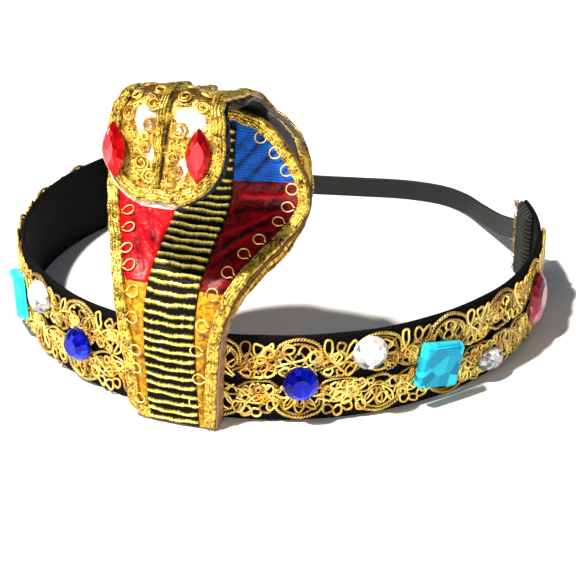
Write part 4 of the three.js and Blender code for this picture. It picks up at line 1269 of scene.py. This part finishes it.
# x, distance along the brocade, and radius
COILS = [
    (-10.5, 154.6, 2.2), (-3.9, 157.0, 2.0), (4.9, 157.3, 2.4), (-4.5, 163.4, 1.5), (-5.6, 167.4, 2.2),
    (3.4, 165.2, 2.0), (-3.0, 170.9, 2.2), (3.3, 171.4, 1.5), (5.4, 168.6, 1.4), (-9.5, 148.4, 1.8),
    (-3.6, 151.4, 1.9), (10.0, 150.4, 1.9), (-3.2, 146.4, 1.7), (4.7, 148.0, 1.9), (-5.2, 160.2, 1.3),
    (9.6, 144.0, 1.8), (-8.6, 142.0, 1.9), (4.0, 141.2, 1.8),
]
coils = []
for number, (x, along, radius) in enumerate(COILS):
    turn = np.linspace(0, COIL_TURNS * 2 * np.pi, round(20 * radius))
    reach = COIL_EYE + (radius - COIL_EYE) * (turn / turn[-1]) ** COIL_POWER
    coil_x = x + reach * np.cos(turn + COIL_START * number)
    coil_along = along + reach * np.sin(turn + COIL_START * number)
    path = brocade_point(coil_x, coil_along, COIL_SEAT + COIL_RISE * (1 - reach / radius))
    out = brocade_axes(coil_x / brocade_half_width(coil_along), coil_along)[2]
    coils.append(cord(path, out, COIL_WIRE))
add_cords("wire_coils", coils, gold_yarn("gilt_purl", "#efc860", "#a8741c"), [])


# Cut stones
# Foil-backed acrylic stones are glued on: two red navettes for eyes, and five stones on each side of the
# band. They are moulded with a table and rows of facets; which facets flash and which stay dark is
# painted reflection.
STONE_SEAT = 88.7
# Share of the outline and of the height at each row of corners
STONE_ROWS = [(1.0, 0.0), (1.0, 0.32), (0.8, 0.74), (0.54, 1.0)]
SQUARE_ROWS = [(1.0, 0.0), (1.0, 0.45), (0.93, 0.85), (0.84, 1.0)]
SQUARE_CORNER = 0.45
SQUARE_TURN = -12
STONE_SIDES = 16
# Angle on the band, height, width, length and thickness
STONES = {
    "blue_round": (23.6, 13.8, 10.5, 10.5, 4.0), "clear_round": (36.8, 22.0, 10.5, 10.5, 3.6),
    "turquoise_square": (51.4, 13.2, 14.5, 14.0, 3.4), "clear_oval": (66.0, 7.0, 11.0, 7.0, 3.0),
    "rose_oval": (86.5, 14.6, 13.0, 18.0, 3.0),
}
EYE_SIZE = (7.0, 15.0, 3.4)
# x, row of the brocade's table, lift and lean
EYES = {"left": (-12.6, 18.5, 2.2, 6), "right": (10.5, 18.3, 0.9, 3)}
# How each stone's facets flash, as painted reflection: mean, swing round the stone, direction of its
# brightest side, scatter, and table
FLASHES = {
    "blue": {"mean": 0.4, "swing": 0.34, "towards": -40, "scatter": 0.16, "table": 0.48},
    "clear": {"mean": 0.55, "swing": 0.42, "towards": 105, "scatter": 0.24, "table": 0.86},
    "clear_oval": {"mean": 0.3, "swing": 0.2, "towards": 60, "scatter": 0.34, "table": 0.4},
    "turquoise": {"mean": 0.5, "swing": 0.3, "towards": 20, "scatter": 0.3, "table": 0.06},
    "rose": {"mean": 0.5, "swing": 0.4, "towards": -75, "scatter": 0.1, "table": 0.5},
    "eye_left": {"mean": 0.36, "swing": 0.24, "towards": -60, "scatter": 0.1, "table": 0.76},
    "eye_right": {"mean": 0.36, "swing": 0.26, "towards": -90, "scatter": 0.1, "table": 0.5},
}
BACK_FLASH = 0.2
# Share of the swing and scatter that shows in the table
TABLE_SHARE = 0.4
STONE_SEEDS = {"left": 40, "right": 49}
EYE_SEEDS = {"left": 70, "right": 71}


def stone_outline(cut):
    """One turn round a stone one unit across: a circle, a pointed oval or a square with cut corners."""
    if cut == "square":
        near = SQUARE_CORNER
        half = np.array([(0.5, -near), (0.5, near), (near, 0.5), (-near, 0.5)])
        return np.concatenate([half, -half])
    turn = 2 * np.pi * np.arange(STONE_SIDES) / STONE_SIDES
    width = np.cos(turn) * np.abs(np.cos(turn)) if cut == "navette" else np.cos(turn)
    return pairs(width, np.sin(turn)) / 2


def cut_stone(cut, size, painted_reflection, seed):
    """A cut stone on a flat back: its outline shrinks and rises from row to row, each cell between rows is
    split in two facets, and the table closes it. Also gives each facet a flash from 0 to 1, a painted
    reflection: a mean plus a cosine of the facet's direction and some scatter."""
    outline = stone_outline(cut)
    sides = len(outline)
    profile = SQUARE_ROWS if cut == "square" else STONE_ROWS
    rows = [
        np.column_stack([outline * share * size[:2], np.full(sides, rise * size[2])])
        for share, rise in profile
    ]
    points = np.concatenate([[(0, 0, 0), (0, 0, size[2])], *rows])
    cells = grid_faces(len(rows), sides, wrap_columns=True) + 2
    alternate = (np.arange(len(cells)) % 2 == 0)[:, None]
    first = np.where(alternate, cells[:, [0, 1, 2]], cells[:, [0, 1, 3]])
    second = np.where(alternate, cells[:, [0, 2, 3]], cells[:, [1, 2, 3]])
    rim = np.arange(sides)
    base = np.stack([0 * rim, (rim + 1) % sides + 2, rim + 2], axis=-1)
    top = 2 + (len(rows) - 1) * sides
    table = np.stack([0 * rim + 1, rim + top, (rim + 1) % sides + top], axis=-1)
    faces = np.concatenate([base, first, second, table])
    draw = np.random.default_rng(seed)
    swing, scatter = painted_reflection["swing"], painted_reflection["scatter"]
    middle = outline + np.roll(outline, -1, axis=0)
    # Facets turned one way are brighter: painted reflection.
    lit = np.cos(np.arctan2(middle[:, 1], middle[:, 0]) - math.radians(painted_reflection["towards"]))
    facets = painted_reflection["mean"] + swing * np.tile(lit, len(rows) - 1) + draw.normal(0, scatter, len(cells))
    split = draw.normal(0, scatter, len(cells))
    stars = TABLE_SHARE * swing * lit + draw.normal(0, TABLE_SHARE * scatter, sides)
    table_flash = painted_reflection["table"] + stars * (cut != "square")
    flash = np.concatenate([np.full(sides, BACK_FLASH), facets, facets + split, table_flash])
    return (points, faces), np.clip(flash, 0, 1)


def foiled_acrylic(name, dark, middle, bright, blocks):
    """Foil-backed clear acrylic under a hard gloss. Its colour is painted reflection, facet by facet, from
    dark through the tint to bright. In a square stone the table is broken into blocks of painted
    reflection."""
    acrylic, shader = new_material(name)
    flash = add_node(acrylic, "Attribute", {}, "Fac", attribute_name="flash")
    uv = add_node(acrylic, "UVMap", {}, uv_map="cloth")
    facets = add_node(acrylic, "TexVoronoi", {"Vector": uv, "Scale": 0.2}, "Color")
    tones = add_node(acrylic, "SeparateXYZ", {0: facets})
    mixed = add_node(acrylic, "Math", {0: tones, 1: blocks, 2: flash}, operation="MULTIPLY_ADD")
    low = add_node(acrylic, "MapRange", {0: mixed, 2: 0.55})
    high = add_node(acrylic, "MapRange", {0: mixed, 1: 0.6})
    shaded = add_node(acrylic, "Mix", {0: low, 6: dark, 7: middle}, 2, data_type="RGBA")
    colour = add_node(acrylic, "Mix", {0: high, 6: shaded, 7: bright}, 2, data_type="RGBA")
    connect(acrylic, shader, {
        "Base Color": colour, "Metallic": 0.2, "Roughness": 0.15, "Coat Weight": 0.15,
        "Coat Roughness": 0.03, "Specular IOR Level": 0.15,
    })
    return acrylic


ACRYLICS = {
    "blue": foiled_acrylic("foiled_blue_acrylic", "#010230", "#0310b0", "#2450f4", 0.0),
    "clear": foiled_acrylic("foiled_clear_acrylic", "#5c6066", "#c4c7cc", "#ffffff", 0.0),
    "turquoise": foiled_acrylic("foiled_turquoise_acrylic", "#04688a", "#05a8d0", "#2edcf4", 0.9),
    "rose": foiled_acrylic("foiled_rose_acrylic", "#540c1a", "#a03248", "#f0b8c2", 0.0),
    "red": foiled_acrylic("foiled_red_acrylic", "#5c0006", "#cc0812", "#fa7a86", 0.0),
}


def add_stone(name, cut, size, painted_reflection, seed, place, axes, turn, colour, replaces):
    """Adds a cut stone at a place, its axes pointing right, up and out, turned about the last one."""
    (points, faces), flash = cut_stone(cut, size, FLASHES[painted_reflection], seed)
    cosine, sine = math.cos(math.radians(turn)), math.sin(math.radians(turn))
    turned = points @ np.array([(cosine, sine, 0), (-sine, cosine, 0), (0, 0, 1)])
    add_piece(
        name, (place + turned @ np.stack(axes), faces), ACRYLICS[colour], [replaces],
        uv=points[:, :2], face_values={"flash": flash}, sharp=1,
    )


for label, sign in (("left", -1), ("right", 1)):
    for number, (name, (angle, height, *size)) in enumerate(STONES.items()):
        colour, cut = name.split("_")
        angle = sign * angle
        add_stone(
            f"{name}_stone_{label}", cut, size, name if name in FLASHES else colour,
            STONE_SEEDS[label] + number, on_band(angle, height, STONE_SEAT),
            [on_band(angle + 90, 0, 1.0), (0, 0, 1), on_band(angle, 0, 1.0)],
            sign * SQUARE_TURN * (cut == "square"), colour, f"stone_{name}_{label}",
        )
    x, row, lift, lean = EYES[label]
    above = int(row)
    along = BROCADE[above, 0] + (row - above) * (BROCADE[above + 1, 0] - BROCADE[above, 0])
    _, ahead, out = brocade_axes(x / brocade_half_width(along), along)
    add_stone(
        f"eye_stone_{label}", "navette", EYE_SIZE, f"eye_{label}", EYE_SEEDS[label],
        brocade_point(x, along, lift), [np.cross(-ahead, out), -ahead, out], lean, "red", f"eye_{label}",
    )


# Studio
# A plain pale floor, one strong light from the upper front left, and weak low ones from the front and left.
FLOOR_SIZE = 2.4
LIGHT_TARGET = (0, 0, 0.04)
LIGHTS = [
    {"name": "key", "place": (-0.35, -0.59, 1.22), "size": 0.08, "power": 38, "colour": "#fff8ec"},
    {"name": "front", "place": (0.3, -1.3, 0.2), "size": 0.6, "power": 8, "colour": "#fbfaf6"},
    {"name": "side", "place": (-1.1, -0.5, 0.5), "size": 0.5, "power": 3, "colour": "#fff8ec"},
]
SKY_COLOUR = "#dde8fb"
SKY_STRENGTH = 0.15
CAMERA = {"azimuth": 19.8, "elevation": 26.13, "distance": 521.0, "target": (1.46, 2.5, 0.0), "lens": 93.8}


def aimed(name, data, place, target):
    """A light or camera at a place, turned towards a target."""
    thing = bpy.data.objects.new(name, data)
    bpy.context.scene.collection.objects.link(thing)
    thing.location = place
    back = unit(np.array(place) - np.array(target))
    right = unit(np.cross((0, 0, 1), back))
    turn = np.stack([right, np.cross(back, right), back], axis=-1)
    thing.rotation_mode = "QUATERNION"
    thing.rotation_quaternion = type(thing.matrix_world)(np.pad(turn, (0, 1)).tolist()).to_quaternion()
    return thing


floor_corners = FLOOR_SIZE / 2 * np.array([(-1, -1, 0), (1, -1, 0), (1, 1, 0), (-1, 1, 0)])
floor_mesh = bpy.data.meshes.new("studio_floor")
floor_mesh.from_pydata(floor_corners.tolist(), [], [(0, 1, 2, 3)])
floor = bpy.data.objects.new("studio_floor", floor_mesh)
bpy.context.scene.collection.objects.link(floor)
paper, paper_shader = new_material("white_paper")
connect(paper, paper_shader, {"Base Color": "#f4f4f4", "Roughness": 0.9})
floor_mesh.materials.append(paper)

for light in LIGHTS:
    lamp = bpy.data.lights.new(light["name"], "AREA")
    lamp.size = light["size"]
    lamp.energy = light["power"]
    lamp.color = linear(light["colour"])[:3]
    aimed(light["name"], lamp, light["place"], LIGHT_TARGET)

world = bpy.data.worlds.new("studio_sky")
world.use_nodes = True
connect(world, world.node_tree.nodes["Background"], {"Color": SKY_COLOUR, "Strength": SKY_STRENGTH})
bpy.context.scene.world = world
bpy.context.scene.view_settings.view_transform = "Standard"

camera_data = bpy.data.cameras.new("photo_view")
camera_data.lens = CAMERA["lens"]
camera_data.sensor_width = 36.0
azimuth, elevation = math.radians(CAMERA["azimuth"]), math.radians(CAMERA["elevation"])
camera_back = np.array([
    math.sin(azimuth) * math.cos(elevation), -math.cos(azimuth) * math.cos(elevation), math.sin(elevation)
])
camera_target = (np.array(CAMERA["target"]) + (0, RING_CENTRE_Y, 0)) * MM
camera_place = camera_target + CAMERA["distance"] * MM * camera_back
bpy.context.scene.camera = aimed("photo_view", camera_data, camera_place, camera_target)
